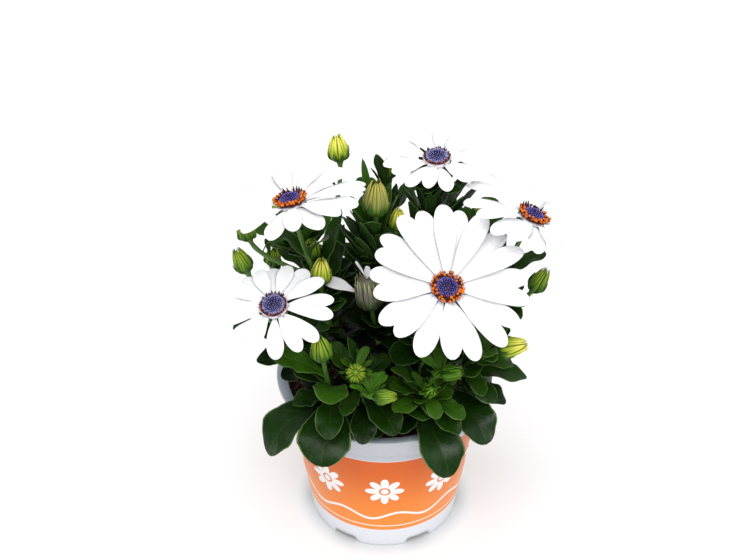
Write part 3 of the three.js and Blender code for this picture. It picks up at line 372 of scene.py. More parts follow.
@dataclass(frozen=True)
class Clearance:
    """Room kept between the parts of the plant."""

    spacing: float = 2.6
    blade: float = 1.05
    petal: float = 1.5
    stalk: float = 2.5
    fork: float = 7.0
    rim: float = 1.8
    rim_zone: float = 7.0
    soil: float = 2.5
    bud: float = 0.6
    own_stem: float = 0.5
    own_blade: float = 0.7
    cell: float = 6.0


POT = PotSize()
SOIL = SoilSize()
STEM = StemSize()
HEAD = HeadSize()
PETAL_RULE = PetalRule()
LEAF_RULE = LeafRule()
CLEARANCE = Clearance()
BLADE_STEPS = 24
BLADE_RISE = 0.2


# ---- Small maths


class Draw:
    """A repeatable row of random numbers, the same as the one that lays out the solids."""

    FACTOR = 48271
    MODULUS = 2147483647

    def __init__(self, seed: int) -> None:
        """Starts the row at a seed."""
        self.state = seed

    def next(self) -> float:
        """The next number, between 0 and 1."""
        self.state = self.state * self.FACTOR % self.MODULUS
        return self.state / self.MODULUS

    def between(self, low: float, high: float) -> float:
        """The next number, between two limits."""
        return low + (high - low) * self.next()


def vec(values: Sequence[float]) -> Array:
    """A point or direction as an array."""
    return np.array(values, dtype=float)


def unit(v: Array) -> Array:
    """A direction of length 1."""
    return v / math.sqrt(float(v @ v))


def lerp(pair: Sequence[float], share: float) -> float:
    """The value at a share of the way between two."""
    return (1 - share) * pair[0] + share * pair[1]


def smooth(low: float, high: float, x: Union[Array, float]) -> Union[Array, float]:
    """A smooth step from 0 at `low` to 1 at `high`."""
    t = np.clip((x - low) / (high - low), 0, 1)
    return t * t * (3 - 2 * t)


@dataclass(frozen=True)
class Bezier:
    """A cubic curve."""

    a: Array
    b: Array
    c: Array
    d: Array

    def point(self, t: float) -> Array:
        """The place at a share of the curve."""
        k = 1 - t
        return k * k * k * self.a + 3 * k * k * t * self.b + 3 * k * t * t * self.c + t * t * t * self.d

    def tangent(self, t: float) -> Array:
        """The direction at a share of the curve."""
        return unit(self.point(min(t + 1e-4, 1)) - self.point(max(t - 1e-4, 0)))

    def length(self) -> float:
        """The curve's length."""
        chain = np.array([self.point(i / 200) for i in range(201)])
        return float(np.sqrt((np.diff(chain, axis=0) ** 2).sum(axis=1)).sum())


def stem_curve(start: Array, out: Array, end: Array, arrival: Array) -> Bezier:
    """The middle line of a stem.

    Args:
        start: Where it begins.
        out: The direction it sets out in.
        end: Where it ends.
        arrival: The direction it has there.

    Returns:
        The curve.
    """
    span = float(np.linalg.norm(end - start))
    leave = unit(out) * span * STEM.set_out
    approach = unit(arrival) * span * STEM.arrive
    return Bezier(start, start + leave, end - approach, end)


@dataclass(frozen=True)
class Stance:
    """Place and turn of a head whose own Z is the way it faces."""

    turn: Array
    origin: Array

    @staticmethod
    def of(at: Triple, facing: Triple, drop: float) -> "Stance":
        """The stance of a head.

        Args:
            at: The head's middle.
            facing: Where it faces.
            drop: How far its own origin lies behind its middle.

        Returns:
            The stance.
        """
        x, y, z = unit(vec(facing))
        k = 1 / (1 + z)
        turn = np.array([[1 - x * x * k, -x * y * k, x], [-x * y * k, 1 - y * y * k, y], [-x, -y, z]])
        return Stance(turn, vec(at) - turn[:, 2] * drop)

    def place(self, points: Array) -> Array:
        """Points of the head's own frame, in the plant's."""
        return points @ self.turn.T + self.origin


def bloom_stance(bloom: Bloom) -> Stance:
    """The stance of an open bloom; its origin is the underside of the hub."""
    return Stance.of(bloom.at, bloom.facing, HEAD.disc_lift)


def bud_stance(bud: Bud) -> Stance:
    """The stance of a bud; its origin is the bud's base."""
    return Stance.of(bud.at, bud.facing, bud.long / 2)


# ---- Blades


@dataclass
class Blade:
    """A leaf or petal: root, azimuth, pitch at root and tip, length, width and roll."""

    root: Array
    azimuth: float
    pitch: Pair
    length: float
    width: float
    roll: float = 0.0
    place: float = 0.0
    small: bool = False

    def line(self, shares: Sequence[float]) -> tuple[Array, Array, Array, Array]:
        """The middle line at the given shares of the length.

        Args:
            shares: Rising shares of the length.

        Returns:
            Places, directions, sides and normals, a row for each share.
        """
        heading = math.radians(self.azimuth)
        ch, sh = math.cos(heading), math.sin(heading)
        across = np.array([-sh, ch, 0.0])
        roll = math.radians(self.roll)
        x, y, z = (float(v) for v in self.root)
        done = 0.0
        rows: list[tuple[Array, Array, Array, Array]] = []
        for share in shares:
            while done < share * BLADE_STEPS - 1e-9:
                step = min(1.0, share * BLADE_STEPS - done)
                pitch = math.radians(lerp(self.pitch, (done + step / 2) / BLADE_STEPS))
                reach = self.length * step / BLADE_STEPS
                x += reach * math.cos(pitch) * ch
                y += reach * math.cos(pitch) * sh
                z += reach * math.sin(pitch)
                done += step
            pitch = math.radians(lerp(self.pitch, share))
            along = np.array([math.cos(pitch) * ch, math.cos(pitch) * sh, math.sin(pitch)])
            level = np.cross(along, across)
            side = across * math.cos(roll) + level * math.sin(roll)
            rows.append((np.array([x, y, z]), along, side, np.cross(along, side)))
        at, along, side, normal = (np.array(column) for column in zip(*rows))
        return at, along, side, normal

    def points(self, outline: Callable[[float], float]) -> Array:
        """Points spread over the blade, for keeping other blades clear of it.

        Args:
            outline: The blade's outline.

        Returns:
            The points.
        """
        count = math.ceil(self.length / CLEARANCE.spacing)
        shares = [(i + 1) / count for i in range(count)]
        at, _, side, normal = self.line(shares)
        made = []
        for i, share in enumerate(shares):
            half = 0.5 * self.width * outline(share)
            columns = max(1, math.floor(2 * half / CLEARANCE.spacing + 0.5))
            for k in range(columns + 1):
                across = half * ((2 * k) / columns - 1)
                made.append(at[i] + side[i] * across + normal[i] * BLADE_RISE * abs(across))
        return np.array(made)


def leaf_outline(share: float) -> float:
    """Half the width of a leaf: a narrow stalk, then a spoon with a blunt tip."""
    return 0.11 + 0.89 * max(0.0, math.sin(math.pi * min(share, 1) ** 1.75)) ** 0.72


@dataclass(frozen=True)
class PetalForm:
    """A petal's outline: width at the root, how it widens, where it is widest, and how its tip ends."""

    root: float = 0.2
    fullness: float = 1.25
    widest: float = 0.66
    tip_from: float = 0.66
    bluntness: float = 2.2


PETAL_FORM = PetalForm()


def petal_outline(share: float) -> float:
    """Half the width of a petal: narrow at the hub, widest past the middle, with a broad round tip.

    Args:
        share: The place along the petal.

    Returns:
        The share of its greatest width there.
    """
    form = PETAL_FORM
    swell = math.sin(math.pi / 2 * min(1, share / form.widest)) ** form.fullness
    spread = form.root + (1 - form.root) * swell
    end = min(max((share - form.tip_from) / (1 - form.tip_from), 0), 1)
    return spread * math.sqrt(1 - end ** form.bluntness)


# ---- Laying out the plant


class Room:
    """Spheres that stand for what is already placed."""

    def __init__(self, size: int = 60000) -> None:
        """Makes an empty room for `size` spheres.

        Args:
            size: How many spheres it can hold.
        """
        self.centres = np.zeros((size, 3))
        self.cells = np.zeros((size, 3), dtype=int)
        self.radii = np.zeros(size)
        self.owners = np.zeros(size, dtype=int)
        self.stems = np.zeros(size, dtype=bool)
        self.names: dict[str, int] = {}
        self.count = 0

    def owner(self, name: str) -> int:
        """The number of an owner."""
        return self.names.setdefault(name, len(self.names))

    def take(self, points: Array, radius: float, owner: str, is_stem: bool = False) -> None:
        """Fills the room round some points.

        Args:
            points: Middles of the spheres.
            radius: Their radius.
            owner: Whose they are.
            is_stem: Whether they are a stem.
        """
        here = slice(self.count, self.count + len(points))
        self.centres[here] = points
        self.cells[here] = np.floor(points / CLEARANCE.cell)
        self.radii[here] = radius
        self.owners[here] = self.owner(owner)
        self.stems[here] = is_stem
        self.count += len(points)

    def is_free(self, points: Array, radius: float, owner: str, far: Array,
                only: Optional[str] = None) -> bool:
        """Whether all points are clear.

        Args:
            points: The points of a blade.
            radius: Room kept round each.
            owner: The blade's shoot.
            far: For each point, whether it is well away from its own root.
            only: The one owner whose room counts, if not all do.

        Returns:
            True if nothing is in the way.
        """
        used = slice(0, self.count)
        cells = np.floor(points / CLEARANCE.cell).astype(int)
        low, high = cells.min(axis=0) - 1, cells.max(axis=0) + 1
        near = np.all((self.cells[used] >= low) & (self.cells[used] <= high), axis=1)
        if only is not None:
            near &= self.owners[used] == self.owner(only)
        index = np.nonzero(near)[0]
        if not len(index):
            return True
        beside = np.all(np.abs(cells[:, None, :] - self.cells[index][None, :, :]) <= 1, axis=2)
        own = self.owners[index] == self.owner(owner)
        share = np.where(own, np.where(self.stems[index], CLEARANCE.own_stem, CLEARANCE.own_blade), 1.0)
        counted = beside & ~(own[None, :] & ~far[:, None])
        gap = np.sqrt(((points[:, None, :] - self.centres[index][None, :, :]) ** 2).sum(axis=2))
        return not bool(np.any(counted & (gap < share * (radius + self.radii[index]))))


def hits_pot(points: Array) -> bool:
    """Whether any point would run into the pot's rim or wall, or into the soil.

    Args:
        points: The points of a blade.

    Returns:
        True if any does.
    """
    radius = np.hypot(points[:, 0], points[:, 1])
    low = points[:, 2] <= POT.height + CLEARANCE.rim
    inside = radius < POT.rim_radius - CLEARANCE.rim_zone
    in_soil = inside & (points[:, 2] < SOIL.top + CLEARANCE.soil)
    in_wall = ~inside & (radius < POT.rim_radius + CLEARANCE.rim)
    return bool(np.any(low & (in_soil | in_wall)))


@dataclass
class Stalk:
    """A stem or flower stalk and the head it carries."""

    curve: Bezier
    head: str

    @property
    def bloom(self) -> Optional[Bloom]:
        """The open bloom at its end, if it has one."""
        return BLOOMS.get(self.head)

    @property
    def bud(self) -> Optional[Bud]:
        """The bud at its end, if it has one."""
        return BUDS.get(self.head)


@dataclass
class GrownShoot:
    """A shoot with its stalks and the leaves that found room."""

    plan: Shoot
    main: Stalk
    sides: list[Stalk]
    blades: list[Blade] = field(default_factory=list)

    @property
    def stalks(self) -> list[Stalk]:
        """The main stem first, then the side stalks."""
        return [self.main, *self.sides]


@dataclass(frozen=True)
class Filling:
    """Small leaves that fill a part of the plant, with their place as a share of the stem."""

    seed: int
    rounds: int
    place: Pair
    length: Pair
    shape: Pair
    pitch: float
    pitch_rise: float
    vary_pitch: Pair
    bend: Pair
    bend_up: float
    roll: float
    room: float
    lowest: float = 0.0


INSIDE = Filling(seed=7001, rounds=44, place=(0.14, 0.74), length=(15, 27), shape=(0.42, 0.55), pitch=8,
                 pitch_rise=50, vary_pitch=(-12, 16), bend=(15, 50), bend_up=0.5, roll=18, room=0.6)
UPRIGHT = Filling(seed=4211, rounds=36, place=(0.4, 0.93), length=(15, 27), shape=(0.27, 0.38), pitch=0,
                  pitch_rise=0, vary_pitch=(50, 78), bend=(8, 42), bend_up=0, roll=25, room=0.3, lowest=128)


@dataclass(frozen=True)
class TuftRule:
    """The young leaves round the tip of a low shoot, from a share of its stalk on."""

    seed: int = 577
    leaves: int = 12
    start: float = 0.8
    spread: float = 0.17
    vary_azimuth: float = 20.0
    pitch: Pair = (45, 80)
    tip_pitch: Pair = (0, 40)
    length: Pair = (8, 16)
    shape: Pair = (0.24, 0.34)
    roll: float = 15.0


@dataclass(frozen=True)
class StalkLeafRule:
    """The narrow, upright leaves on flower stalks: where they start, and over which share they spread."""

    seed: int = 911
    leaves: int = 3
    on_stem: Pair = (0.5, 0.4)
    on_side: Pair = (0.2, 0.65)
    pitch: float = 74.0
    tip_pitch: Pair = (20, 50)
    length: Pair = (9, 15)
    width: Pair = (2.2, 3.4)
    room: float = 0.36


@dataclass(frozen=True)
class SmallRule:
    """What all small leaves share: how often they are tried again, and how they rise with height."""

    tries: int = 5
    turn: float = 67.0
    crown_room: float = 0.1
    low: float = 84.0
    span: float = 80.0


TUFT = TuftRule()
STALK_LEAF = StalkLeafRule()
SMALL = SmallRule()


class Plant:
    """Lays out stems, heads and leaves so that nothing of one shoot runs into another."""

    def __init__(self) -> None:
        """Grows the plant."""
        self.room = Room()
        self.shoots = [self.grow_stalks(plan) for plan in SHOOTS]
        self.take_stalks()
        self.take_blooms()
        self.place_features()
        self.place_by_rule()
        self.solid_leaves = sum(len(shoot.blades) for shoot in self.shoots)
        self.place_crown()
        self.place_tufts()
        self.fill(INSIDE)
        self.fill(UPRIGHT)
        self.place_on_stalks()

    @staticmethod
    def stalk_end(head: str) -> tuple[Array, Array]:
        """Where a head's stalk ends and which way it points there.

        Args:
            head: The head's name.

        Returns:
            The place and the direction.
        """
        bloom = BLOOMS.get(head)
        stance = bloom_stance(bloom) if bloom else bud_stance(BUDS[head])
        down = HEAD.cup_depth - HEAD.stalk_in_cup if bloom else GAP
        return stance.place(vec((0, 0, -down))), stance.turn[:, 2]

    def grow_stalks(self, plan: Shoot) -> GrownShoot:
        """The stem and the side stalks of a shoot.

        Args:
            plan: What is known of the shoot.

        Returns:
            The shoot, without leaves.
        """
        start = vec((*plan.root, SOIL.top - SOIL.root_depth))
        end, axis = self.stalk_end(plan.tip)
        main = stem_curve(start, vec(plan.out), end, axis)
        sides = []
        for head, share in plan.sides:
            end, axis = self.stalk_end(head)
            origin = main.point(share)
            out = main.tangent(share)
            out = out + (unit(end - origin) - out) * STEM.branching
            sides.append(Stalk(stem_curve(origin, out, end, axis), head))
        return GrownShoot(plan, Stalk(main, plan.tip), sides)

    def take_stalks(self) -> None:
        """Takes the room of stems and buds."""
        for shoot in self.shoots:
            for stalk in shoot.stalks:
                count = math.ceil(stalk.curve.length() / CLEARANCE.spacing)
                chain = np.array([stalk.curve.point(i / count) for i in range(count + 1)])
                self.room.take(chain, STEM.root_radius, shoot.plan.name, True)
                bud = stalk.bud
                if bud:
                    axis = unit(vec(bud.facing))
                    ends = np.array([vec(bud.at) + axis * k * bud.long for k in (-0.25, 0, 0.25)])
                    self.room.take(ends, bud.wide / 2 + CLEARANCE.bud, "heads")
                    for petal in bud_petals(bud):
                        spread = bud_stance(bud).place(petal.points(petal_outline))
                        self.room.take(spread, CLEARANCE.petal, "heads")

    def take_blooms(self) -> None:
        """Takes the room of petals and cups."""
        for bloom in BLOOMS.values():
            stance = bloom_stance(bloom)
            spread = np.concatenate([petal.points(petal_outline) for petal in bloom_petals(bloom)])
            self.room.take(stance.place(spread), CLEARANCE.petal, "heads")
            cup = np.array([[0, 0, z] for z in (-6.0, -3.0, 2.0)])
            self.room.take(stance.place(cup), HEAD.cup_radius, "heads")

    def place(self, shoot: GrownShoot, leaf: Blade, room: float = CLEARANCE.blade,
              only: Optional[str] = None) -> bool:
        """Places a leaf if it has room.

        Args:
            shoot: The leaf's shoot.
            leaf: The leaf.
            room: Room kept round its points.
            only: The one owner whose room it keeps clear of, if not of all.

        Returns:
            True if it was placed.
        """
        spread = leaf.points(leaf_outline)
        gap = np.sqrt(((spread - leaf.root) ** 2).sum(axis=1))
        outer = spread[gap > CLEARANCE.stalk]
        if hits_pot(outer):
            return False
        far = gap[gap > CLEARANCE.stalk] > CLEARANCE.fork
        if not self.room.is_free(outer, room, shoot.plan.name, far, only):
            return False
        self.room.take(outer, room, shoot.plan.name)
        shoot.blades.append(leaf)
        return True

    def place_features(self) -> None:
        """Places the leaves that stand out."""
        for shoot in self.shoots:
            for feature in shoot.plan.features:
                root = shoot.main.curve.point(feature.start)
                for attempt in range(LEAF_RULE.tries):
                    if self.place(shoot, self.leaf_to(root, feature, attempt)):
                        break

    @staticmethod
    def leaf_to(root: Array, feature: Feature, attempt: int) -> Blade:
        """A leaf whose tip is given; later attempts raise, turn and shorten it.

        Args:
            root: Where it starts.
            feature: The leaf that is wanted.
            attempt: How often it was tried before.

        Returns:
            The leaf.
        """
        rule = LEAF_RULE
        turn = math.radians((1 if attempt % 2 else -1) * math.ceil(attempt / 2) * rule.feature_turn)
        size = 1 - rule.shrink * attempt
        x, y, z = vec(feature.tip) - root
        c, s = math.cos(turn), math.sin(turn)
        span = np.array([x * c - y * s, x * s + y * c, z]) * size
        span[2] += rule.feature_lift * attempt
        chord = float(np.linalg.norm(span))
        rise = math.degrees(math.asin(span[2] / chord))
        half = math.radians(abs(feature.bend) / 2)
        return Blade(
            root, math.degrees(math.atan2(span[1], span[0])),
            (rise - feature.bend / 2, rise + feature.bend / 2),
            chord * half / math.sin(half), feature.width * size, feature.roll, feature.start)

    @staticmethod
    def leaf_by_rule(root: Array, azimuth: float, draw: Draw, attempt: int) -> Blade:
        """A leaf by the rule of its height; later attempts turn it, raise it and make it smaller.

        Args:
            root: Where it starts.
            azimuth: Where it points, in degrees.
            draw: Where its own numbers come from.
            attempt: How often it was tried before.

        Returns:
            The leaf.
        """
        rule = LEAF_RULE
        high = min(max((root[2] - rule.lowest) / (rule.highest - rule.lowest), 0), 1)
        turn = (1 if attempt % 2 else -1) * math.ceil(attempt / 2) * rule.turn
        size = 1 - rule.shrink * attempt
        pitch = lerp(rule.pitch, high) + draw.between(-rule.vary_pitch, rule.vary_pitch)
        pitch += rule.raise_by * attempt
        bend = lerp(rule.bend, high) * draw.between(*rule.vary_bend)
        length = lerp(rule.length, high) * size * draw.between(*rule.vary_length)
        width = lerp(rule.width, high) * size * draw.between(*rule.vary_width)
        roll = draw.between(-rule.vary_roll, rule.vary_roll)
        return Blade(root, azimuth + turn, (pitch - bend / 2, pitch + bend / 2), length, width, roll)

    def place_by_rule(self) -> None:
        """Places the leaves of the rule, round by round."""
        for turn in range(max(shoot.plan.leaves for shoot in self.shoots)):
            for shoot in self.shoots:
                plan = shoot.plan
                if turn >= plan.leaves:
                    continue
                draw = Draw(plan.seed * 1000 + turn)
                share = lerp(plan.leafy, (turn + 0.5) / plan.leaves)
                root = shoot.main.curve.point(share)
                azimuth = plan.seed * 20 + turn * LEAF_RULE.golden_angle
                for attempt in range(LEAF_RULE.tries):
                    leaf = self.leaf_by_rule(root, azimuth, draw, attempt)
                    leaf.place = share
                    if self.place(shoot, leaf):
                        break

    def place_crown(self) -> None:
        """Places the leaves that stand up between the blooms."""
        for shoot in self.shoots:
            for feature in CROWN_LEAVES.get(shoot.plan.name, ()):
                root = shoot.main.curve.point(feature.start)
                for attempt in range(SMALL.tries):
                    leaf = self.leaf_to(root, feature, attempt)
                    leaf.small = True
                    if self.place(shoot, leaf, SMALL.crown_room, "heads"):
                        break

    def place_tufts(self) -> None:
        """Puts a tuft of young leaves round each leafy tip."""
        for shoot in self.shoots:
            for k, stalk in enumerate(shoot.stalks):
                if stalk.head not in TUFTED:
                    continue
                draw = Draw(shoot.plan.seed * TUFT.seed + k)
                for i in range(TUFT.leaves):
                    root = stalk.curve.point(TUFT.start + TUFT.spread * draw.next())
                    length = draw.between(*TUFT.length)
                    azimuth = i * LEAF_RULE.golden_angle + draw.between(-TUFT.vary_azimuth, TUFT.vary_azimuth)
                    pitch = (draw.between(*TUFT.pitch), draw.between(*TUFT.tip_pitch))
                    width = length * draw.between(*TUFT.shape)
                    roll = draw.between(-TUFT.roll, TUFT.roll)
                    shoot.blades.append(Blade(root, azimuth, pitch, length, width, roll, 1.0, True))

    def fill(self, filling: Filling) -> None:
        """Fills a part of the plant with small leaves, wherever they find room.

        Args:
            filling: The part and its leaves.
        """
        for turn in range(filling.rounds):
            for shoot in self.shoots:
                draw = Draw(shoot.plan.seed * filling.seed + turn)
                share = draw.between(filling.place[0], max(filling.place[1], shoot.plan.leafy[1]))
                root = shoot.main.curve.point(share)
                azimuth = draw.between(0, 360)
                high = min(max((root[2] - SMALL.low) / SMALL.span, 0), 1)
                length = draw.between(*filling.length)
                width = length * draw.between(*filling.shape)
                pitch = filling.pitch + filling.pitch_rise * high + draw.between(*filling.vary_pitch)
                bend = draw.between(*filling.bend)
                pitches = (pitch + bend * filling.bend_up, pitch - bend * (1 - filling.bend_up))
                if root[2] < filling.lowest:
                    continue
                for attempt in range(SMALL.tries):
                    roll = draw.between(-filling.roll, filling.roll)
                    side = azimuth + SMALL.turn * attempt
                    leaf = Blade(root, side, pitches, length, width, roll, share, True)
                    if self.place(shoot, leaf, filling.room):
                        break

    def place_on_stalks(self) -> None:
        """Puts narrow, upright leaves on the flower stalks."""
        rule = STALK_LEAF
        for shoot in self.shoots:
            for k, stalk in enumerate(shoot.stalks):
                draw = Draw(shoot.plan.seed * rule.seed + k)
                start, spread = rule.on_side if k else rule.on_stem
                for i in range(rule.leaves):
                    share = start + spread * (i + draw.next()) / rule.leaves
                    azimuth = draw.between(0, 360)
                    pitch = (rule.pitch, draw.between(*rule.tip_pitch))
                    length, width = draw.between(*rule.length), draw.between(*rule.width)
                    leaf = Blade(stalk.curve.point(share), azimuth, pitch, length, width, 0, share, True)
                    self.place(shoot, leaf, rule.room)


def bloom_petals(bloom: Bloom) -> list[Blade]:
    """The petals of a bloom in its own frame, in two layers by turns.

    Args:
        bloom: The bloom.

    Returns:
        Its petals.
    """
    rule = PETAL_RULE
    draw = Draw(rule.seed + bloom.petals * 31 + math.floor(bloom.reach * 10 + 0.5))
    made = []
    for i in range(bloom.petals):
        even = bloom.turn + 360 * i / bloom.petals + draw.between(-rule.angle, rule.angle)
        angle = even - bloom.crowd * math.sin(math.radians(even - bloom.crowd_to))
        side = bloom.lean * math.cos(math.radians(angle - bloom.lean_to))
        pinch = bloom.pinch * math.cos(math.radians(2 * angle))
        upper = i % 2
        reach = bloom.reach * (1 + side + pinch + draw.between(-rule.reach, rule.reach))
        pitch = (
            bloom.pitch[0] + rule.upper_pitch * upper + draw.between(-rule.pitch[0], rule.pitch[0]),
            bloom.pitch[1] + draw.between(-rule.pitch[1], rule.pitch[1]),
        )
        root = vec((HEAD.hub_radius * math.cos(math.radians(angle)),
                    HEAD.hub_radius * math.sin(math.radians(angle)), HEAD.layers[upper]))
        width = bloom.width * (1 + draw.between(-rule.width, rule.width))
        roll = draw.between(-rule.roll, rule.roll)
        made.append(Blade(root, angle, pitch, reach - HEAD.hub_radius, width, roll))
    return made


def bud_petals(bud: Bud) -> list[Blade]:
    """The petals that an opening bud shows, in its own frame."""
    return [Blade(vec(p.root), p.azimuth, p.pitch, p.length, p.width) for p in bud.petals]


# ---- Meshes


class Skin:
    """The points, faces and painted values of a mesh in the making, in millimetres.

    Two values go with each point and are read by the finishes: `blade` (share along, place across from -1
    to 1, underside) and `kind` (a number of its own, then two that differ by piece).
    """

    def __init__(self) -> None:
        """Makes an empty skin."""
        self.points: list[Array] = []
        self.blades: list[Array] = []
        self.kinds: list[Array] = []
        self.faces: list[Array] = []
        self.count = 0

    def loft(self, rings: Array, blade: Union[Array, Triple] = (0, 0, 0),
             kind: Triple = (0, 0, 0), stance: Optional[Stance] = None) -> None:
        """Adds a closed body through rings of equal count.

        Args:
            rings: Rings by points by three; an end ring whose points coincide makes a sharp end.
            blade: The blade value of each point, or one for all.
            kind: The kind value of all points.
            stance: The frame the rings are in, if it isn't the plant's.
        """
        rows, columns = rings.shape[:2]
        points = self.with_ends(rings)
        if stance is not None:
            points = stance.place(points)
        j = np.arange(columns)
        k = (j + 1) % columns
        quads = np.concatenate([
            np.stack([i * columns + j, i * columns + k, (i + 1) * columns + k, (i + 1) * columns + j], axis=1)
            for i in range(rows - 1)])
        first, last = rows * columns, rows * columns + 1
        base = (rows - 1) * columns
        caps = np.concatenate([
            np.stack([np.full(columns, first), k, j], axis=1),
            np.stack([base + j, base + k, np.full(columns, last)], axis=1)])
        value = np.asarray(blade, dtype=float)
        value = self.with_ends(value) if value.ndim == 3 else value
        self.points.append(points)
        self.blades.append(np.broadcast_to(value, points.shape))
        self.kinds.append(np.broadcast_to(np.asarray(kind, dtype=float), points.shape))
        self.faces.extend((quads + self.count, caps + self.count))
        self.count += len(points)

    @staticmethod
    def with_ends(rings: Array) -> Array:
        """The rows of all rings, then the middle of the first and of the last one."""
        return np.concatenate([rings.reshape(-1, 3), [rings[0].mean(axis=0), rings[-1].mean(axis=0)]])

    def add_blade(self, upper: list[Array], lower: list[Array], shares: Array, cols: Array, kind: Triple,
                  stance: Optional[Stance] = None) -> None:
        """Adds a blade whose rings run over its upper face and back along its lower one.

        Args:
            upper: For each share, the points of the upper face.
            lower: For each share, those of the lower face.
            shares: Places along the blade.
            cols: Places across it, from 1 to -1.
            kind: The kind value of all points.
            stance: The frame the points are in, if it isn't the plant's.
        """
        rings = np.array([np.concatenate([top, bottom[-2:0:-1]]) for top, bottom in zip(upper, lower)])
        across = np.concatenate([cols, cols[-2:0:-1]])
        below = np.concatenate([np.zeros(len(cols)), np.ones(len(cols) - 2)])
        size = rings.shape[:2]
        values = [np.broadcast_to(value, size) for value in (shares[:, None], across, below)]
        self.loft(rings, np.stack(values, axis=2), kind, stance)

    def build(self, name: str, finish: bpy.types.Material, slot: str) -> bpy.types.Object:
        """Makes the Blender object.

        Args:
            name: The piece's name.
            finish: Its material.
            slot: The record's material slot of the piece; not used.

        Returns:
            The object, riding on the part.
        """
        points = np.concatenate(self.points) * MM
        mesh = bpy.data.meshes.new(name)
        mesh.vertices.add(len(points))
        mesh.vertices.foreach_set("co", points.astype(np.float32).ravel())
        sizes = np.concatenate([np.full(len(rows), rows.shape[1]) for rows in self.faces])
        corners = np.concatenate([rows.ravel() for rows in self.faces])
        mesh.loops.add(len(corners))
        mesh.loops.foreach_set("vertex_index", corners.astype(np.int32))
        mesh.polygons.add(len(sizes))
        mesh.polygons.foreach_set("loop_start", (np.cumsum(sizes) - sizes).astype(np.int32))
        mesh.polygons.foreach_set("loop_total", sizes.astype(np.int32))
        mesh.polygons.foreach_set("use_smooth", np.ones(len(sizes), dtype=bool))
        mesh.update(calc_edges=True)
        for label, rows in (("blade", self.blades), ("kind", self.kinds)):
            layer = mesh.attributes.new(label, "FLOAT_VECTOR", "POINT")
            layer.data.foreach_set("vector", np.concatenate(rows).astype(np.float32).ravel())
        mesh.materials.append(finish)
        made = bpy.data.objects.new(name, mesh)
        bpy.context.scene.collection.objects.link(made)
        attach(made, "root")
        LOG.info("%s: %d triangles", name, int((sizes - 2).sum()))
        return made


def tube_rings(curve: Bezier, shares: Array, radii: Array, sides: int) -> Array:
    """Rings across a curve.

    Args:
        curve: The middle line.
        shares: Places along it.
        radii: The radius at each.
        sides: Points in a ring.

    Returns:
        Rings by points by three.
    """
    side: Optional[Array] = None
    rings = []
    angles = np.arange(sides) * TURN / sides
    for share, radius in zip(shares, radii):
        along = curve.tangent(share)
        side = np.cross(vec((0, 1, 0)), along) if side is None else side
        side = unit(side - along * float(side @ along))
        other = np.cross(along, side)
        centre = curve.point(share)
        rings.append(centre + radius * (np.outer(np.cos(angles), side) + np.outer(np.sin(angles), other)))
    return np.array(rings)


def circle(radius: float, z: float, count: int, start: float = 0.0) -> Array:
    """A ring of points round the Z axis."""
    angles = start + np.arange(count) * TURN / count
    return np.stack([radius * np.cos(angles), radius * np.sin(angles), np.full(count, z)], axis=1)


# ---- Shaders

Value = Union["Wire", float, int]


class Wire:
    """A node's socket that takes part in sums; every sum adds a Math node."""

    def __init__(self, graph: "Graph", socket: bpy.types.NodeSocket) -> None:
        """Wraps an output socket of a graph."""
        self.graph = graph
        self.socket = socket

    def __add__(self, other: Value) -> "Wire":
        """Sum."""
        return self.graph.math("ADD", self, other)

    def __radd__(self, other: Value) -> "Wire":
        """Sum, number first."""
        return self.graph.math("ADD", other, self)

    def __sub__(self, other: Value) -> "Wire":
        """Difference."""
        return self.graph.math("SUBTRACT", self, other)

    def __rsub__(self, other: Value) -> "Wire":
        """Difference, number first."""
        return self.graph.math("SUBTRACT", other, self)

    def __mul__(self, other: Value) -> "Wire":
        """Product."""
        return self.graph.math("MULTIPLY", self, other)

    def __rmul__(self, other: Value) -> "Wire":
        """Product, number first."""
        return self.graph.math("MULTIPLY", other, self)

    def __truediv__(self, other: Value) -> "Wire":
        """Quotient."""
        return self.graph.math("DIVIDE", self, other)

    def __rtruediv__(self, other: Value) -> "Wire":
        """Quotient, number first."""
        return self.graph.math("DIVIDE", other, self)

    def __pow__(self, other: Value) -> "Wire":
        """Power."""
        return self.graph.math("POWER", self, other)

    def __rpow__(self, other: Value) -> "Wire":
        """Power, number first."""
        return self.graph.math("POWER", other, self)

    def __neg__(self) -> "Wire":
        """Negative."""
        return self.graph.math("MULTIPLY", self, -1)

    def __abs__(self) -> "Wire":
        """Size without sign."""
        return self.graph.math("ABSOLUTE", self)

    def step(self, low: float, high: float) -> "Wire":
        """A smooth step from 0 at `low` to 1 at `high`; falling if `low` is the higher.

        Args:
            low: Where the result is 0.
            high: Where it is 1.

        Returns:
            The result.
        """
        first, second = (low, high) if low < high else (high, low)
        rising = self.graph.wire("ShaderNodeMapRange", {
            "Value": self, "From Min": first, "From Max": second}, interpolation_type="SMOOTHSTEP")
        return rising if low < high else 1 - rising


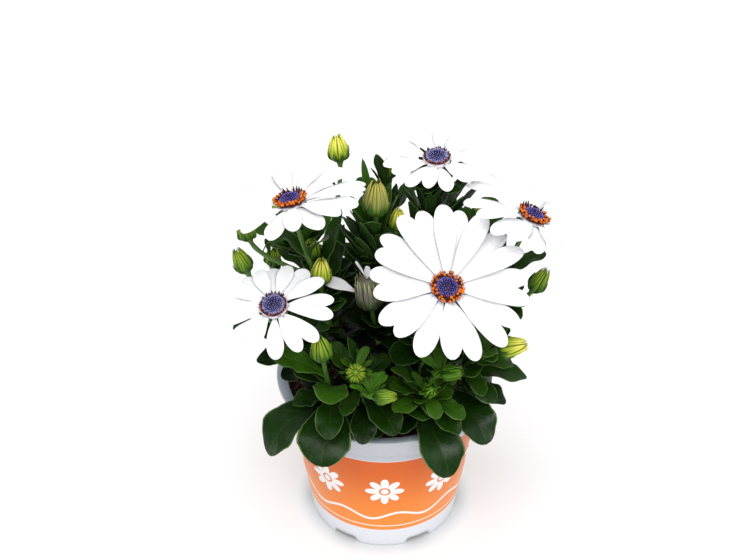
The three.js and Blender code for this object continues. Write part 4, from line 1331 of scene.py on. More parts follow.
class Graph:
    """The nodes of one material."""

    def __init__(self, name: str) -> None:
        """Makes a material with an empty node tree.

        Args:
            name: The material's name.
        """
        self.material = bpy.data.materials.new(name)
        self.material.use_nodes = True
        self.tree = self.material.node_tree
        self.tree.nodes.clear()

    def node(self, kind: str, sockets: dict[Union[str, int], object], **settings: str) -> bpy.types.Node:
        """Adds a node.

        Args:
            kind: The node's type.
            sockets: Values or links of its inputs, by name or number.
            settings: Its settings.

        Returns:
            The node.
        """
        made = self.tree.nodes.new(kind)
        for key, value in settings.items():
            setattr(made, key, value)
        for key, value in sockets.items():
            if isinstance(value, Wire):
                self.tree.links.new(value.socket, made.inputs[key])
            else:
                made.inputs[key].default_value = value
        return made

    def wire(self, kind: str, sockets: dict[Union[str, int], object], output: Union[str, int] = 0,
             **settings: str) -> Wire:
        """Adds a node and takes one of its outputs."""
        return Wire(self, self.node(kind, sockets, **settings).outputs[output])

    def math(self, operation: str, *values: Value) -> Wire:
        """A Math node."""
        return self.wire("ShaderNodeMath", dict(enumerate(values)), operation=operation)

    def mix(self, factor: Value, first: Union[Wire, Triple], second: Union[Wire, Triple]) -> Wire:
        """A mix of two colours."""
        first, second = ((*colour, 1) if isinstance(colour, tuple) else colour for colour in (first, second))
        return self.wire("ShaderNodeMix", {0: factor, 6: first, 7: second}, 2, data_type="RGBA")

    def place(self) -> Wire:
        """The place on the object, in metres."""
        return self.wire("ShaderNodeTexCoord", {}, "Object")

    def split(self, vector: Wire) -> tuple[Wire, Wire, Wire]:
        """The three numbers of a vector."""
        made = self.node("ShaderNodeSeparateXYZ", {0: vector})
        return tuple(Wire(self, output) for output in made.outputs)

    def join(self, x: Value, y: Value, z: Value) -> Wire:
        """A vector of three numbers."""
        return self.wire("ShaderNodeCombineXYZ", {0: x, 1: y, 2: z})

    def painted(self, label: str) -> tuple[Wire, Wire, Wire]:
        """The three numbers painted on the mesh under a name."""
        return self.split(self.wire(
            "ShaderNodeAttribute", {}, "Vector", attribute_name=label, attribute_type="GEOMETRY"))

    def noise(self, vector: Wire, scale: float, detail: float = 3.0, roughness: float = 0.5) -> Wire:
        """Noise between 0 and 1."""
        return self.wire("ShaderNodeTexNoise", {
            "Vector": vector, "Scale": scale, "Detail": detail, "Roughness": roughness})

    def cells(self, vector: Wire, scale: float, feature: str = "DISTANCE_TO_EDGE") -> Wire:
        """The distance to the nearest edge, or middle, of random cells."""
        sockets = {"Vector": vector, "Scale": scale}
        return self.wire("ShaderNodeTexVoronoi", sockets, "Distance", feature=feature)

    def bump(self, height: Wire, distance: float, strength: float = 1.0) -> Wire:
        """A normal from a height of 0 to 1; the distance is in metres."""
        return self.wire("ShaderNodeBump", {"Height": height, "Distance": distance, "Strength": strength})

    def finish(self, **sockets: object) -> bpy.types.Material:
        """Ends the material with its surface.

        Args:
            sockets: Inputs of the surface, with _ for a space.

        Returns:
            The material.
        """
        surface = self.wire("ShaderNodeBsdfPrincipled", {
            name.replace("_", " "): value for name, value in sockets.items()})
        self.node("ShaderNodeOutputMaterial", {0: surface})
        return self.material


# ---- Finishes


@dataclass(frozen=True)
class LeafFinish:
    """Satin leaf with a fine net of veins, a pale edge and a greyer underside; painted shade darkens it deep
    inside the plant.
    """

    deep: Triple = (0.0050, 0.0235, 0.0012)
    fresh: Triple = (0.0190, 0.0680, 0.0034)
    young: Triple = (0.085, 0.240, 0.012)
    vein: Triple = (0.040, 0.095, 0.014)
    edge: Triple = (0.130, 0.220, 0.060)
    underside: Triple = (0.026, 0.060, 0.014)
    # The colour of painted shade on leaves deep inside the plant.
    inmost: Triple = (0.0010, 0.0036, 0.0004)
    vein_pairs: float = 6.0
    net: float = 620.0

    def material(self) -> bpy.types.Material:
        """Makes the material.

        Returns:
            The material.
        """
        g = Graph("leaf")
        along, across, under = g.painted("blade")
        seed, youth, painted_shade = g.painted("kind")
        place = g.place()
        off = abs(across)
        blotch = g.noise(place, 90, 3)
        tone = seed * 0.55 + blotch * 0.75 - 0.15
        base = g.mix(tone.step(0.1, 1.0), self.deep, self.fresh)
        base = g.mix(youth, base, self.young)
        comb = g.math("FRACT", along * self.vein_pairs - off * 1.5)
        side_vein = abs(comb - 0.5).step(0.14, 0.0) * off.step(0.95, 0.5) * along.step(0.1, 0.3)
        rib = off.step(0.10, 0.02)
        net = g.cells(place, self.net)
        base = g.mix(side_vein * 0.04 + rib * 0.14, base, self.vein)
        base = g.mix(net.step(0.12, 0.0) * 0.03, base, self.vein)
        base = g.mix(off.step(0.91, 0.975) * 0.8, base, self.edge)
        base = g.mix(under * 0.75, base, self.underside)
        # Painted shade: leaves deep inside the plant are darkened towards `inmost`.
        base = g.mix(painted_shade, base, self.inmost)
        height = net.step(0.0, 0.3) * 0.4 - side_vein * 0.7 - rib * 0.8 + g.noise(place, 260, 2) * 0.9
        rough = g.noise(place, 160, 2) * 0.14 + 0.29 + under * 0.2
        x, _, z = g.split(place)
        gloss = z.step(0.125, 0.085) * (blotch + seed * 0.5).step(0.3, 0.95) * (1 - under)
        gloss = gloss * (x.step(-0.06, 0.04) * 0.9 + 0.35)
        return g.finish(Base_Color=base, Roughness=rough, Normal=g.bump(height, 0.00035, 0.5),
                        Specular_IOR_Level=0.10, Coat_Weight=gloss, Coat_Roughness=0.28)


@dataclass(frozen=True)
class StemFinish:
    """Ribbed green stem, browner at the soil."""

    green: Triple = (0.110, 0.240, 0.030)
    dark: Triple = (0.045, 0.115, 0.015)
    woody: Triple = (0.075, 0.052, 0.024)

    def material(self) -> bpy.types.Material:
        """Makes the material.

        Returns:
            The material.
        """
        g = Graph("stem")
        along, across, _ = g.painted("blade")
        place = g.place()
        height = g.split(place)[2]
        streak = g.noise(g.join(across * 30, along * 2, 0), 4, 3)
        base = g.mix(streak.step(0.35, 0.65), self.dark, self.green)
        base = g.mix(height.step(0.100, 0.082) * 0.8, base, self.woody)
        ribs = g.math("SINE", across * (TURN * 7))
        return g.finish(Base_Color=base, Roughness=0.5, Normal=g.bump(ribs + streak, 0.00008, 0.7))


@dataclass(frozen=True)
class PetalFinish:
    """White petal with fine furrows, a breath of lilac at its root and below; painted shade along its edges
    and in part of its grey-lilac streaks.
    """

    white: Triple = (0.86, 0.86, 0.87)
    # Grey-lilac streaks: the petal's own faint lines, strengthened as painted shade.
    shade: Triple = (0.64, 0.63, 0.68)
    root: Triple = (0.52, 0.42, 0.58)
    # The colour of painted shade along the petal's edges.
    rim: Triple = (0.36, 0.35, 0.40)
    below: Triple = (0.50, 0.48, 0.55)

    def material(self) -> bpy.types.Material:
        """Makes the material.

        Returns:
            The material.
        """
        g = Graph("petal")
        along, across, under = g.painted("blade")
        seed, _, _ = g.painted("kind")
        line = g.noise(g.join(across * 5, along * 1.2, seed * 40), 3.2, 4, 0.6)
        # Grey-lilac streaks along the petal: partly its own faint lines, partly painted shade.
        base = g.mix(line.step(0.50, 0.78) * 0.45, self.white, self.shade)
        base = g.mix(along.step(0.16, 0.0) * 0.5, base, self.root)
        # Painted shade: a grey line along each petal's edges.
        base = g.mix(abs(across).step(0.92, 1.0) * 0.6, base, self.rim)
        base = g.mix(under * line.step(0.2, 0.8), base, self.below)
        furrow = g.math("SINE", across * (TURN * 2.5))
        height = furrow * 0.6 + line * 1.4
        return g.finish(Base_Color=base, Roughness=0.55, Normal=g.bump(height, 0.00022, 0.5),
                        Subsurface_Weight=0.12, Subsurface_Radius=(0.0012, 0.0012, 0.0012),
                        Sheen_Weight=0.15, Sheen_Roughness=0.4)


@dataclass(frozen=True)
class FloretFinish:
    """Closed florets of the disc: dark at the foot, violet blue on top."""

    foot: Triple = (0.012, 0.006, 0.045)
    head: Triple = (0.074, 0.056, 0.250)
    tip: Triple = (0.205, 0.170, 0.500)
    young_head: Triple = (0.110, 0.110, 0.330)
    young_tip: Triple = (0.400, 0.400, 0.640)

    def material(self, stage: DiscStage) -> bpy.types.Material:
        """Makes the material for a stage of the disc.

        Args:
            stage: The stage.

        Returns:
            The material.
        """
        g = Graph(f"floret_{stage.value}")
        along, _, _ = g.painted("blade")
        seed, _, _ = g.painted("kind")
        young = stage is DiscStage.YOUNG
        head, tip = (self.young_head, self.young_tip) if young else (self.head, self.tip)
        base = g.mix((along + seed * 0.3).step(0.25, 0.95), self.foot, head)
        base = g.mix((along + seed * 0.35).step(0.85, 1.3), base, tip)
        grain = g.noise(g.place(), 3000, 2)
        return g.finish(Base_Color=base, Roughness=0.55, Normal=g.bump(grain, 0.00006),
                        Specular_IOR_Level=0.2)


@dataclass(frozen=True)
class AntherFinish:
    """Powdery orange anthers on dark purple tubes."""

    tube: Triple = (0.060, 0.012, 0.014)
    orange: Triple = (0.66, 0.160, 0.012)
    deep: Triple = (0.28, 0.045, 0.009)
    lilac: Triple = (0.360, 0.310, 0.500)

    def material(self) -> bpy.types.Material:
        """Makes the material.

        Returns:
            The material.
        """
        g = Graph("anther")
        along, _, _ = g.painted("blade")
        seed, orange, pale = g.painted("kind")
        grain = g.noise(g.place(), 2600, 3)
        powder = g.mix((grain + seed * 0.5 - 0.15).step(0.3, 0.8), self.deep, self.orange)
        base = g.mix(orange * along.step(0.25, 0.45), self.tube, powder)
        base = g.mix(pale * along.step(0.3, 0.9), base, self.lilac)
        return g.finish(Base_Color=base, Roughness=0.7, Normal=g.bump(grain, 0.00012),
                        Specular_IOR_Level=0.15)


@dataclass(frozen=True)
class BudFinish:
    """Bracts of a bud, coloured by the kind of bud: pale ribs, with painted shade in the grooves between
    bracts and under them.
    """

    name: str
    base: Triple
    body: Triple
    tip: Triple
    # The colour of painted shade in the grooves between bracts and on their undersides.
    groove: Triple
    stripe: Triple
    stripe_strength: float
    outer: Triple = (0.050, 0.125, 0.014)
    rise: float = 0.0

    def material(self) -> bpy.types.Material:
        """Makes the material.

        Returns:
            The material.
        """
        g = Graph(f"bud_{self.name}")
        along, across, under = g.painted("blade")
        seed, outer, _ = g.painted("kind")
        off = abs(across)
        streak = g.noise(g.join(across * 3, along * 1.5, seed * 30), 4, 3)
        place = along + streak * 0.3 + seed * 0.16 - (0.2 + self.rise)
        base = g.mix(place.step(0.14, 0.52), self.base, self.body)
        base = g.mix(place.step(0.5, 0.9), base, self.tip)
        # Painted shade: darker towards each bract's edges, where it tucks under its neighbours.
        base = g.mix(off.step(0.5, 1.0) * 0.4, base, self.groove)
        middle = (off + streak * 0.3 - 0.05).step(0.26, 0.06) * along.step(0.05, 0.35) * along.step(1.0, 0.75)
        base = g.mix(middle * (streak.step(0.3, 0.6) * self.stripe_strength), base, self.stripe)
        base = g.mix(outer * along.step(1.4, 0.6), base, self.outer)
        # Painted shade on the bracts' undersides.
        base = g.mix(under * 0.3, base, self.groove)
        return g.finish(Base_Color=base, Roughness=0.48, Normal=g.bump(streak, 0.00018, 0.6),
                        Specular_IOR_Level=0.2)


BUD_FINISHES: dict[BudKind, BudFinish] = {
    BudKind.GREEN: BudFinish("green", (0.034, 0.092, 0.008), (0.115, 0.225, 0.014), (0.270, 0.375, 0.030),
                             (0.030, 0.080, 0.008), (0.065, 0.140, 0.010), 0.35, (0.038, 0.105, 0.009)),
    BudKind.YELLOW: BudFinish("yellow", (0.045, 0.120, 0.010), (0.345, 0.455, 0.023), (0.860, 0.810, 0.135),
                              (0.090, 0.165, 0.009), (0.190, 0.260, 0.014), 0.3, (0.034, 0.100, 0.008)),
    BudKind.STRIPED: BudFinish("striped", (0.055, 0.130, 0.012), (0.270, 0.285, 0.062), (0.500, 0.440, 0.085),
                               (0.120, 0.085, 0.034), (0.170, 0.085, 0.050), 0.9, (0.030, 0.095, 0.008),
                               0.14),
    BudKind.OPENING: BudFinish("opening", (0.075, 0.115, 0.030), (0.235, 0.220, 0.175), (0.560, 0.600, 0.260),
                               (0.026, 0.023, 0.026), (0.050, 0.032, 0.046), 0.85, (0.050, 0.078, 0.026),
                               0.16),
    BudKind.LEAFY: BudFinish("leafy", (0.045, 0.130, 0.008), (0.085, 0.220, 0.010), (0.150, 0.320, 0.016),
                             (0.034, 0.105, 0.006), (0.065, 0.180, 0.009), 0.2, (0.060, 0.170, 0.009)),
}


@dataclass(frozen=True)
class PotFinish:
    """White plastic with a printed orange band, which has a row of plain daisies and a wavy line; painted
    shade on the collar, rim top, inside and the band's top.
    """

    white: Triple = (0.75, 0.775, 0.82)
    # Blue-grey painted shade on the pot's inside and the top of its rim.
    inside: Triple = (0.42, 0.49, 0.60)
    # Grey painted shade on the collar above the band, under the leaves.
    collar: Triple = (0.45, 0.475, 0.51)
    orange: Triple = (0.90, 0.270, 0.040)
    # The band's top colour: painted shade under the collar.
    painted_shade_orange: Triple = (0.61, 0.104, 0.009)
    print_white: Triple = (0.86, 0.84, 0.83)
    repeats: int = 9
    daisy_height: float = 46.0
    daisy_radius: float = 10.0
    wave_height: float = 25.5
    wave_swing: float = 2.4
    line_rise: float = 3.4

    def material(self) -> bpy.types.Material:
        """Makes the material.

        Returns:
            The material.
        """
        g = Graph("pot")
        x, y, z = g.split(g.place())
        _, _, inner = g.painted("blade")
        angle = g.math("ARCTAN2", x, -y)
        height = z / MM
        low, high = POT.band
        band = height.step(low - 0.12, low + 0.12) * height.step(high + 0.12, high - 0.12) * (1 - inner)
        turn = g.math("FRACT", angle * (self.repeats / TURN) + 0.5) - 0.5
        du = turn * (TURN / self.repeats * POT.radius(self.daisy_height))
        dv = height - self.daisy_height
        reach = g.math("SQRT", du * du + dv * dv)
        spoke = abs(g.math("COSINE", g.math("ARCTAN2", dv, du) * 4.0))
        edge = (spoke ** 0.7) * (self.daisy_radius * 0.62) + self.daisy_radius * 0.38
        petals = (edge - reach).step(-0.15, 0.15) * (reach - self.daisy_radius * 0.30).step(-0.15, 0.15)
        eye = reach.step(self.daisy_radius * 0.2 + 0.15, self.daisy_radius * 0.2 - 0.15)
        swing = g.math("SINE", angle * self.repeats)
        wave = abs(height - self.wave_height - swing * self.wave_swing).step(1.0, 0.75)
        line = abs(height - (low + self.line_rise)).step(0.45, 0.25)
        ink = g.math("MAXIMUM", g.math("MAXIMUM", petals, eye), g.math("MAXIMUM", wave, line)) * band
        # Painted shade: the band darkens towards its top, under the collar.
        colour = g.mix(height.step(low, high), self.orange, self.painted_shade_orange)
        # Painted shade: the collar above the band is greyer than the rest of the wall.
        base = g.mix(height.step(high, high + 0.6), self.white, self.collar)
        # Painted shade: the inside, and part of the rim's top, take the blue-grey `inside` colour.
        base = g.mix(inner, base, self.inside)
        base = g.mix(band, base, colour)
        base = g.mix(ink, base, self.print_white)
        grain = g.noise(g.place(), 900, 2)
        rough = grain * 0.08 + 0.30 - band * 0.05
        return g.finish(Base_Color=base, Roughness=rough, Normal=g.bump(grain, 0.00003, 0.4),
                        Specular_IOR_Level=0.2)


@dataclass(frozen=True)
class SoilFinish:
    """Damp peat: dark crumbs among red-brown fibres."""

    dark: Triple = (0.012, 0.006, 0.004)
    brown: Triple = (0.110, 0.036, 0.018)
    red: Triple = (0.34, 0.085, 0.038)

    def material(self) -> bpy.types.Material:
        """Makes the material.

        Returns:
            The material.
        """
        g = Graph("soil")
        seed, _, fibre = g.painted("kind")
        place = g.place()
        crumb = g.cells(place, 700, "F1")
        patch = g.noise(place, 420, 4, 0.65)
        base = g.mix((patch + seed * 0.5 - 0.25).step(0.3, 0.8), self.dark, self.brown)
        base = g.mix((g.noise(place, 1500, 2) + fibre * 0.5).step(0.6, 0.95), base, self.red)
        height = patch - crumb
        return g.finish(Base_Color=base, Roughness=0.92, Normal=g.bump(height, 0.0008, 0.8))


# ---- Leaves and stems


@dataclass(frozen=True)
class LeafMaker:
    """Makes fine leaves: spoon-shaped, creased at the rib, with teeth and a waved edge."""

    thickness: float = 0.55
    edge_thickness: float = 0.24
    stalk_thickening: float = 1.6
    teeth: int = 5
    tooth: float = 0.055
    wave: float = 0.15
    waved_width: float = 14.0
    blister: float = 0.035
    groove: float = 0.25
    keel: float = 0.55
    narrow: float = 4.0
    short: float = 20.0
    blunt_end: float = 0.02
    # Painted shade for leaves deep inside the plant: the radius it reaches out to, the height above which it
    # is gone, the span it fades over, how fast it grows inward, and how dark it gets.
    inside_radius: float = 62.0
    inside_top: float = 166.0
    inside_fade: float = 45.0
    inside_gain: float = 1.8
    inside_shade: float = 0.95
    tip_crowding: float = 1.35
    columns: tuple[float, ...] = (1, 0.965, 0.8, 0.55, 0.28, 0.07, 0, -0.07, -0.28, -0.55, -0.8, -0.965, -1)
    small_columns: tuple[float, ...] = (1, 0.92, 0.55, 0.1, 0, -0.1, -0.55, -0.92, -1)
    stations: int = 24
    small_stations: int = 12

    def grid(self, leaf: Blade) -> tuple[Array, Array]:
        """Places along the leaf, closer together at the tip, and across it; fewer on a small leaf.

        Args:
            leaf: The leaf.

        Returns:
            The places along it and across it.
        """
        few = leaf.small or leaf.length < self.short
        even = np.linspace(0, 1, self.small_stations if few else self.stations)
        cols = np.array(self.small_columns if few else self.columns)
        return 1 - (1 - even) ** self.tip_crowding, cols

    def shade(self, leaf: Blade) -> float:
        """How much painted shade a leaf takes: 0 at the outside of the plant, `inside_shade` deep in it.

        Args:
            leaf: The leaf.

        Returns:
            The share of painted shade.
        """
        middle = leaf.line((0.6,))[0][0]
        inward = 1 - float(np.hypot(middle[0], middle[1])) / self.inside_radius
        low = smooth(self.inside_top, self.inside_top - self.inside_fade, middle[2])
        return self.inside_shade * min(max(inward * self.inside_gain, 0.0), 1.0) * low

    def relief(self, share: float, half: float, cols: Array, wave: float, phase: float, lean: float) -> Array:
        """How high a leaf lies over its middle line across one place: creased, waved and blistered.

        Args:
            share: The place along the leaf.
            half: Half its width there.
            cols: Places across it.
            wave: The height of its waves as a share of `half`.
            phase: Where its waves begin.
            lean: How its two edges differ.

        Returns:
            A height for each place across.
        """
        off = np.abs(cols)
        ripple = math.sin(TURN * (share * 2.1 + phase)) + 0.5 * math.sin(TURN * (share * 4.3 + lean))
        left = wave * half * ripple
        right = wave * half * math.sin(TURN * (share * 2.4 + phase + 0.37 + 0.2 * lean))
        rise = BLADE_RISE * half * off ** 1.35 * (1 - 0.55 * smooth(0.6, 1.0, share))
        blister = self.blister * half * np.sin(TURN * (share * 6 - off * 1.5)) * np.sin(math.pi * off)
        return rise + np.where(cols > 0, left, right) * off ** 2 + blister

    def add(self, skin: Skin, leaf: Blade, youth: float) -> None:
        """Adds a leaf to a skin.

        Args:
            skin: The skin.
            leaf: The leaf.
            youth: From 0, old and dark, to 1, young and bright.
        """
        # A number of the leaf's own, which doesn't depend on the order in which leaves are made.
        mark = leaf.root[0] * 131 + leaf.root[1] * 37 + leaf.azimuth * 11 + leaf.length * 101
        draw = Draw(int(abs(mark)) + 17)
        seed, phase, lean = draw.next(), draw.next(), draw.between(-1, 1)
        shares, cols = self.grid(leaf)
        at, _, side, normal = leaf.line(shares)
        half = np.array([0.5 * leaf.width * leaf_outline(s) for s in shares])
        half[-1] = self.blunt_end
        narrow = leaf.width < self.narrow
        slim, flat = (0.35, 0.4) if narrow else (1, 1)
        wave = self.wave * min(1.0, self.waved_width / leaf.width)
        off = np.abs(cols)
        body = self.edge_thickness + (self.thickness - self.edge_thickness) * (1 - off ** 0.7)
        upper, lower = [], []
        for i, share in enumerate(shares):
            saw = (share * self.teeth + phase) % 1.0
            cut = 0 if narrow else self.tooth * (saw - 0.55) * smooth(0.25, 0.5, share)
            h = half[i] * (1 + cut)
            middle = self.relief(share, h, cols, wave, phase, lean)
            stalk = 1 - smooth(0.05, 0.35, share)
            thick = body * (1 + self.stalk_thickening * stalk) * slim
            top = middle + thick / 2 - self.groove * np.exp(-(off / 0.09) ** 2) * (1 - share)
            bottom = middle - thick / 2 - self.keel * np.exp(-(off / 0.12) ** 2) * (1 - share) * flat
            top[[0, -1]] = bottom[[0, -1]] = middle[[0, -1]]
            line = at[i] + np.outer(h * cols, side[i])
            upper.append(line + np.outer(top, normal[i]))
            lower.append(line + np.outer(bottom, normal[i]))
        # The third kind value is the leaf's share of painted shade.
        skin.add_blade(upper, lower, shares, cols, (seed, youth, self.shade(leaf)))


@dataclass(frozen=True)
class ShootPiece:
    """Makes the fine stems, leaves and cups of a shoot, in place of its solid."""

    grown: GrownShoot
    leaf_maker: LeafMaker = LeafMaker()
    stem_sides: int = 12
    stem_steps: int = 40
    unevenness: float = 0.05
    swells_from: float = 0.93
    bracts: int = 13
    low_tip: float = 145.0
    tuft_youth: float = 0.62
    tip_youth: Pair = (0.12, 0.3)
    small_youth: float = 0.08

    def youth(self, leaf: Blade) -> float:
        """How young a leaf looks: leaves in a tuft or near the tip of a low shoot are bright.

        Args:
            leaf: The leaf.

        Returns:
            Its youth, from 0 to 1.
        """
        if leaf.place >= 1:
            return self.tuft_youth
        high, low = self.tip_youth
        tip = low if self.grown.main.curve.d[2] < self.low_tip else high
        return smooth(0.35, 0.8, leaf.place) * tip + (self.small_youth if leaf.small else 0.0)

    def leaves(self) -> Skin:
        """The leaves.

        Returns:
            Their skin.
        """
        skin = Skin()
        for leaf in self.grown.blades:
            self.leaf_maker.add(skin, leaf, self.youth(leaf))
        return skin

    def stalks(self) -> Skin:
        """The stem, the flower stalks and the cups of open blooms.

        Returns:
            Their skin.
        """
        skin = Skin()
        for k, stalk in enumerate(self.grown.stalks):
            shares = np.linspace(0, 1, self.stem_steps)
            radii = np.full(len(shares), STEM.stalk_radius)
            if k == 0:
                thin = np.minimum(1, shares * STEM.thinning)
                radii = STEM.root_radius + (STEM.stalk_radius - STEM.root_radius) * thin
            if stalk.bud:
                radii = radii + (STEM.bud_radius - radii) * smooth(self.swells_from, 1.0, shares)
            radii = radii * (1 + self.unevenness * np.sin(shares * 37 + k))
            rings = tube_rings(stalk.curve, shares, radii, self.stem_sides)
            blade = np.zeros(rings.shape)
            blade[:, :, 0] = shares[:, None] * stalk.curve.length() / 50
            blade[:, :, 1] = np.arange(self.stem_sides)[None, :] / self.stem_sides
            skin.loft(rings, blade)
            if stalk.bloom:
                self.add_cup(skin, bloom_stance(stalk.bloom))
        return skin

    def add_cup(self, skin: Skin, stance: Stance) -> None:
        """Adds the green cup of bracts under an open bloom.

        Args:
            skin: The skin to add to.
            stance: The bloom's frame.
        """
        rows = [(STEM.stalk_radius, -HEAD.cup_depth), (3.2, -7.0), (4.9, -5.0), (5.6, -2.4), (5.4, -0.7)]
        rings = np.array([circle(r, z, 24) for r, z in rows])
        skin.loft(rings, stance=stance)
        for i in range(self.bracts):
            angle = (i + 0.15 * (i % 2)) * TURN / self.bracts
            wide = 0.5 * (i % 2)
            profile = [(4.0, -6.6), (5.6, -4.4), (6.3 + wide, -2.0), (6.7 + wide, 0.0), (7.1 + wide, 1.2)]
            BractMaker().add(skin, profile, angle, 1.55, stance, (0.5, 0.3, 0))

    def build(self, leaf: bpy.types.Material, stem: bpy.types.Material) -> None:
        """Builds both pieces.

        Args:
            leaf: The material of leaves.
            stem: The material of stems.
        """
        node = f"shoot_{self.grown.plan.name}"
        leaves = self.leaves().build(f"leaves_{self.grown.plan.name}", leaf, "foliage")
        stalks = self.stalks().build(f"stems_{self.grown.plan.name}", stem, "foliage")
        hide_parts(node)
        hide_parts(node)


@dataclass(frozen=True)
class BractMaker:
    """Makes one bract: a narrow pointed strip that lies on a bud or cup."""

    stations: int = 11
    columns: tuple[float, ...] = (1, 0.75, 0.4, 0, -0.4, -0.75, -1)
    thickness: float = 0.35
    ridge: float = 0.32

    def add(self, skin: Skin, profile: Sequence[Pair], angle: float, half: float, stance: Stance,
            kind: Triple) -> None:
        """Adds a bract to a skin.

        Args:
            skin: The skin.
            profile: Radius and height of its middle line, from base to tip.
            angle: Its place round the axis.
            half: Half its greatest width.
            stance: The frame of the bud.
            kind: Its kind value.
        """
        shares = 1 - (1 - np.linspace(0, 1, self.stations)) ** 1.3
        known = np.linspace(0, 1, len(profile))
        radius = np.interp(shares, known, [p[0] for p in profile])
        height = np.interp(shares, known, [p[1] for p in profile])
        slope = np.stack([np.gradient(radius), np.gradient(height)], axis=1)
        slope /= np.linalg.norm(slope, axis=1)[:, None] + 1e-9
        cols = np.array(self.columns)
        width = half * np.minimum(1, (shares * 3.5 + 0.55)) * (1 - shares ** 2.6) ** 0.9
        width[-1] = 0.02
        upper, lower = [], []
        for i in range(len(shares)):
            turn = angle + width[i] * cols / max(radius[i] + 0.8, 1.2)
            bulge = self.ridge * (1 - np.abs(cols) ** 1.6) * min(1, width[i] / (half * 0.5))
            out = np.array([slope[i][1], -slope[i][0]])
            thick = self.thickness * (1 - 0.6 * np.abs(cols))
            for face, level in ((upper, bulge + thick / 2), (lower, bulge - thick / 2)):
                level[[0, -1]] = 0
                r = radius[i] + out[0] * level
                z = height[i] + out[1] * level
                face.append(np.stack([r * np.cos(turn), r * np.sin(turn), z], axis=1))
        skin.add_blade(upper, lower, shares, cols, kind, stance)


# ---- Buds


@dataclass(frozen=True)
class BudOutline:
    """A bud's outline: radii as shares of its own radius, at heights as shares of its length."""

    radii: tuple[float, ...] = (0.42, 0.80, 0.97, 0.93, 0.76, 0.54, 0.32)
    heights: tuple[float, ...] = (0.02, 0.1, 0.24, 0.42, 0.64, 0.85, 1.0)


BUD_OUTLINES: dict[BudKind, BudOutline] = {
    BudKind.LEAFY: BudOutline((0.42, 0.72, 0.84, 0.80, 0.72, 0.62, 0.5)),
    BudKind.OPENING: BudOutline((0.40, 0.76, 0.95, 0.98, 0.90, 0.80, 0.80),
                                (0.02, 0.1, 0.26, 0.46, 0.72, 0.95, 1.14)),
}


@dataclass(frozen=True)
class BractRule:
    """How a bud's inner and outer bracts stand; widths are shares of the bud's radius."""

    inner: int = 14
    overlap: float = 1.45
    outer: int = 8
    outer_width: float = 0.34
    outer_top: Pair = (0.42, 0.62)
    outer_spread: Pair = (0.0, 0.5)


BRACTS = BractRule()
LEAFY_BRACTS = BractRule(8, 1.15, 7, 0.42, (0.7, 0.95), (0.8, 1.8))


@dataclass(frozen=True)
class BudPiece:
    """Makes a bud of overlapping bracts round a core, in place of its solid."""

    name: str
    bud: Bud
    core_inset: float = 0.55
    core_top: float = 0.88
    layer: float = 0.14
    outer_lift: float = 0.62

    @property
    def rule(self) -> BractRule:
        """How its bracts stand."""
        return LEAFY_BRACTS if self.bud.kind is BudKind.LEAFY else BRACTS

    def profile(self, shift: float = 0.0, top: float = 1.0) -> list[Pair]:
        """Radius and height of the bud's outline.

        Args:
            shift: How much wider it is made.
            top: Its height as a share of the length.

        Returns:
            The outline from foot to tip.
        """
        outline = BUD_OUTLINES.get(self.bud.kind, BudOutline())
        radius = self.bud.wide / 2
        return [(r * radius + shift, z * self.bud.long * top) for r, z in zip(outline.radii, outline.heights)]

    def skin(self) -> Skin:
        """The bud's mesh.

        Returns:
            The skin.
        """
        skin = Skin()
        stance = bud_stance(self.bud)
        draw = Draw(int(self.bud.wide * 1000 + self.bud.long * 77 + abs(self.bud.at[0]) * 13))
        core = [(r - self.core_inset, z) for r, z in self.profile(top=self.core_top)]
        core.append((0.05, core[-1][1] + 0.2))
        rings = np.array([circle(max(r, 0.05), z, 20) for r, z in core])
        skin.loft(rings, (0.5, 0.4, 0), (0.5, 0, 0), stance)
        self.add_inner(skin, stance, draw)
        self.add_outer(skin, stance, draw)
        return skin

    def add_inner(self, skin: Skin, stance: Stance, draw: Draw) -> None:
        """Adds the long bracts that close the bud.

        Args:
            skin: The skin to add to.
            stance: The head's frame.
            draw: Where its own numbers come from.
        """
        count = self.rule.inner
        half = math.pi * self.bud.wide / 2 / count * self.rule.overlap
        for i in range(count):
            angle = (i + draw.between(-0.15, 0.15)) * TURN / count
            rows = self.profile(self.layer if i % 2 else -self.layer, draw.between(0.93, 1.05))
            rows[-1] = (rows[-1][0] + draw.between(-0.3, 0.5), rows[-1][1])
            BractMaker().add(skin, rows, angle, half, stance, (draw.next(), 0, 0))

    def add_outer(self, skin: Skin, stance: Stance, draw: Draw) -> None:
        """Adds the short bracts round its foot, which follow the outline of the full bud.

        Args:
            skin: The skin to add to.
            stance: The head's frame.
            draw: Where its own numbers come from.
        """
        count = self.rule.outer
        half = self.bud.wide / 2 * self.rule.outer_width
        radii, heights = zip(*self.profile(self.outer_lift))
        for i in range(count):
            angle = (i + 0.5 + draw.between(-0.25, 0.25)) * TURN / count
            rows = self.profile(self.outer_lift, draw.between(*self.rule.outer_top))
            kept = [(float(np.interp(z, heights, radii)), z) for _, z in rows]
            kept[-1] = (kept[-1][0] + draw.between(*self.rule.outer_spread), kept[-1][1])
            BractMaker().add(skin, kept, angle, half, stance, (draw.next(), 1, 0))

    def build(self, finishes: dict[BudKind, bpy.types.Material], petal: bpy.types.Material) -> None:
        """Builds the bud and the petals that it already shows.

        Args:
            finishes: The materials of buds.
            petal: The material of petals.
        """
        slot = "opening_bud" if self.bud.kind is BudKind.OPENING else "buds"
        made = self.skin().build(f"bracts_{self.name}", finishes[self.bud.kind], slot)
        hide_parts(f"bud_{self.name}")
        if self.bud.petals:
            shown = self.first_petals().build(f"first_petals_{self.name}", petal, "petals")
            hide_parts(f"petals_{self.name}", f"petal_side_{self.name}")

    def first_petals(self) -> Skin:
        """The petals at the mouth and the side of an opening bud.

        Returns:
            Their skin.
        """
        skin = Skin()
        draw = Draw(4093)
        for petal in bud_petals(self.bud):
            PetalMaker().add(skin, petal, draw, bud_stance(self.bud))
        return skin


# ---- Blooms


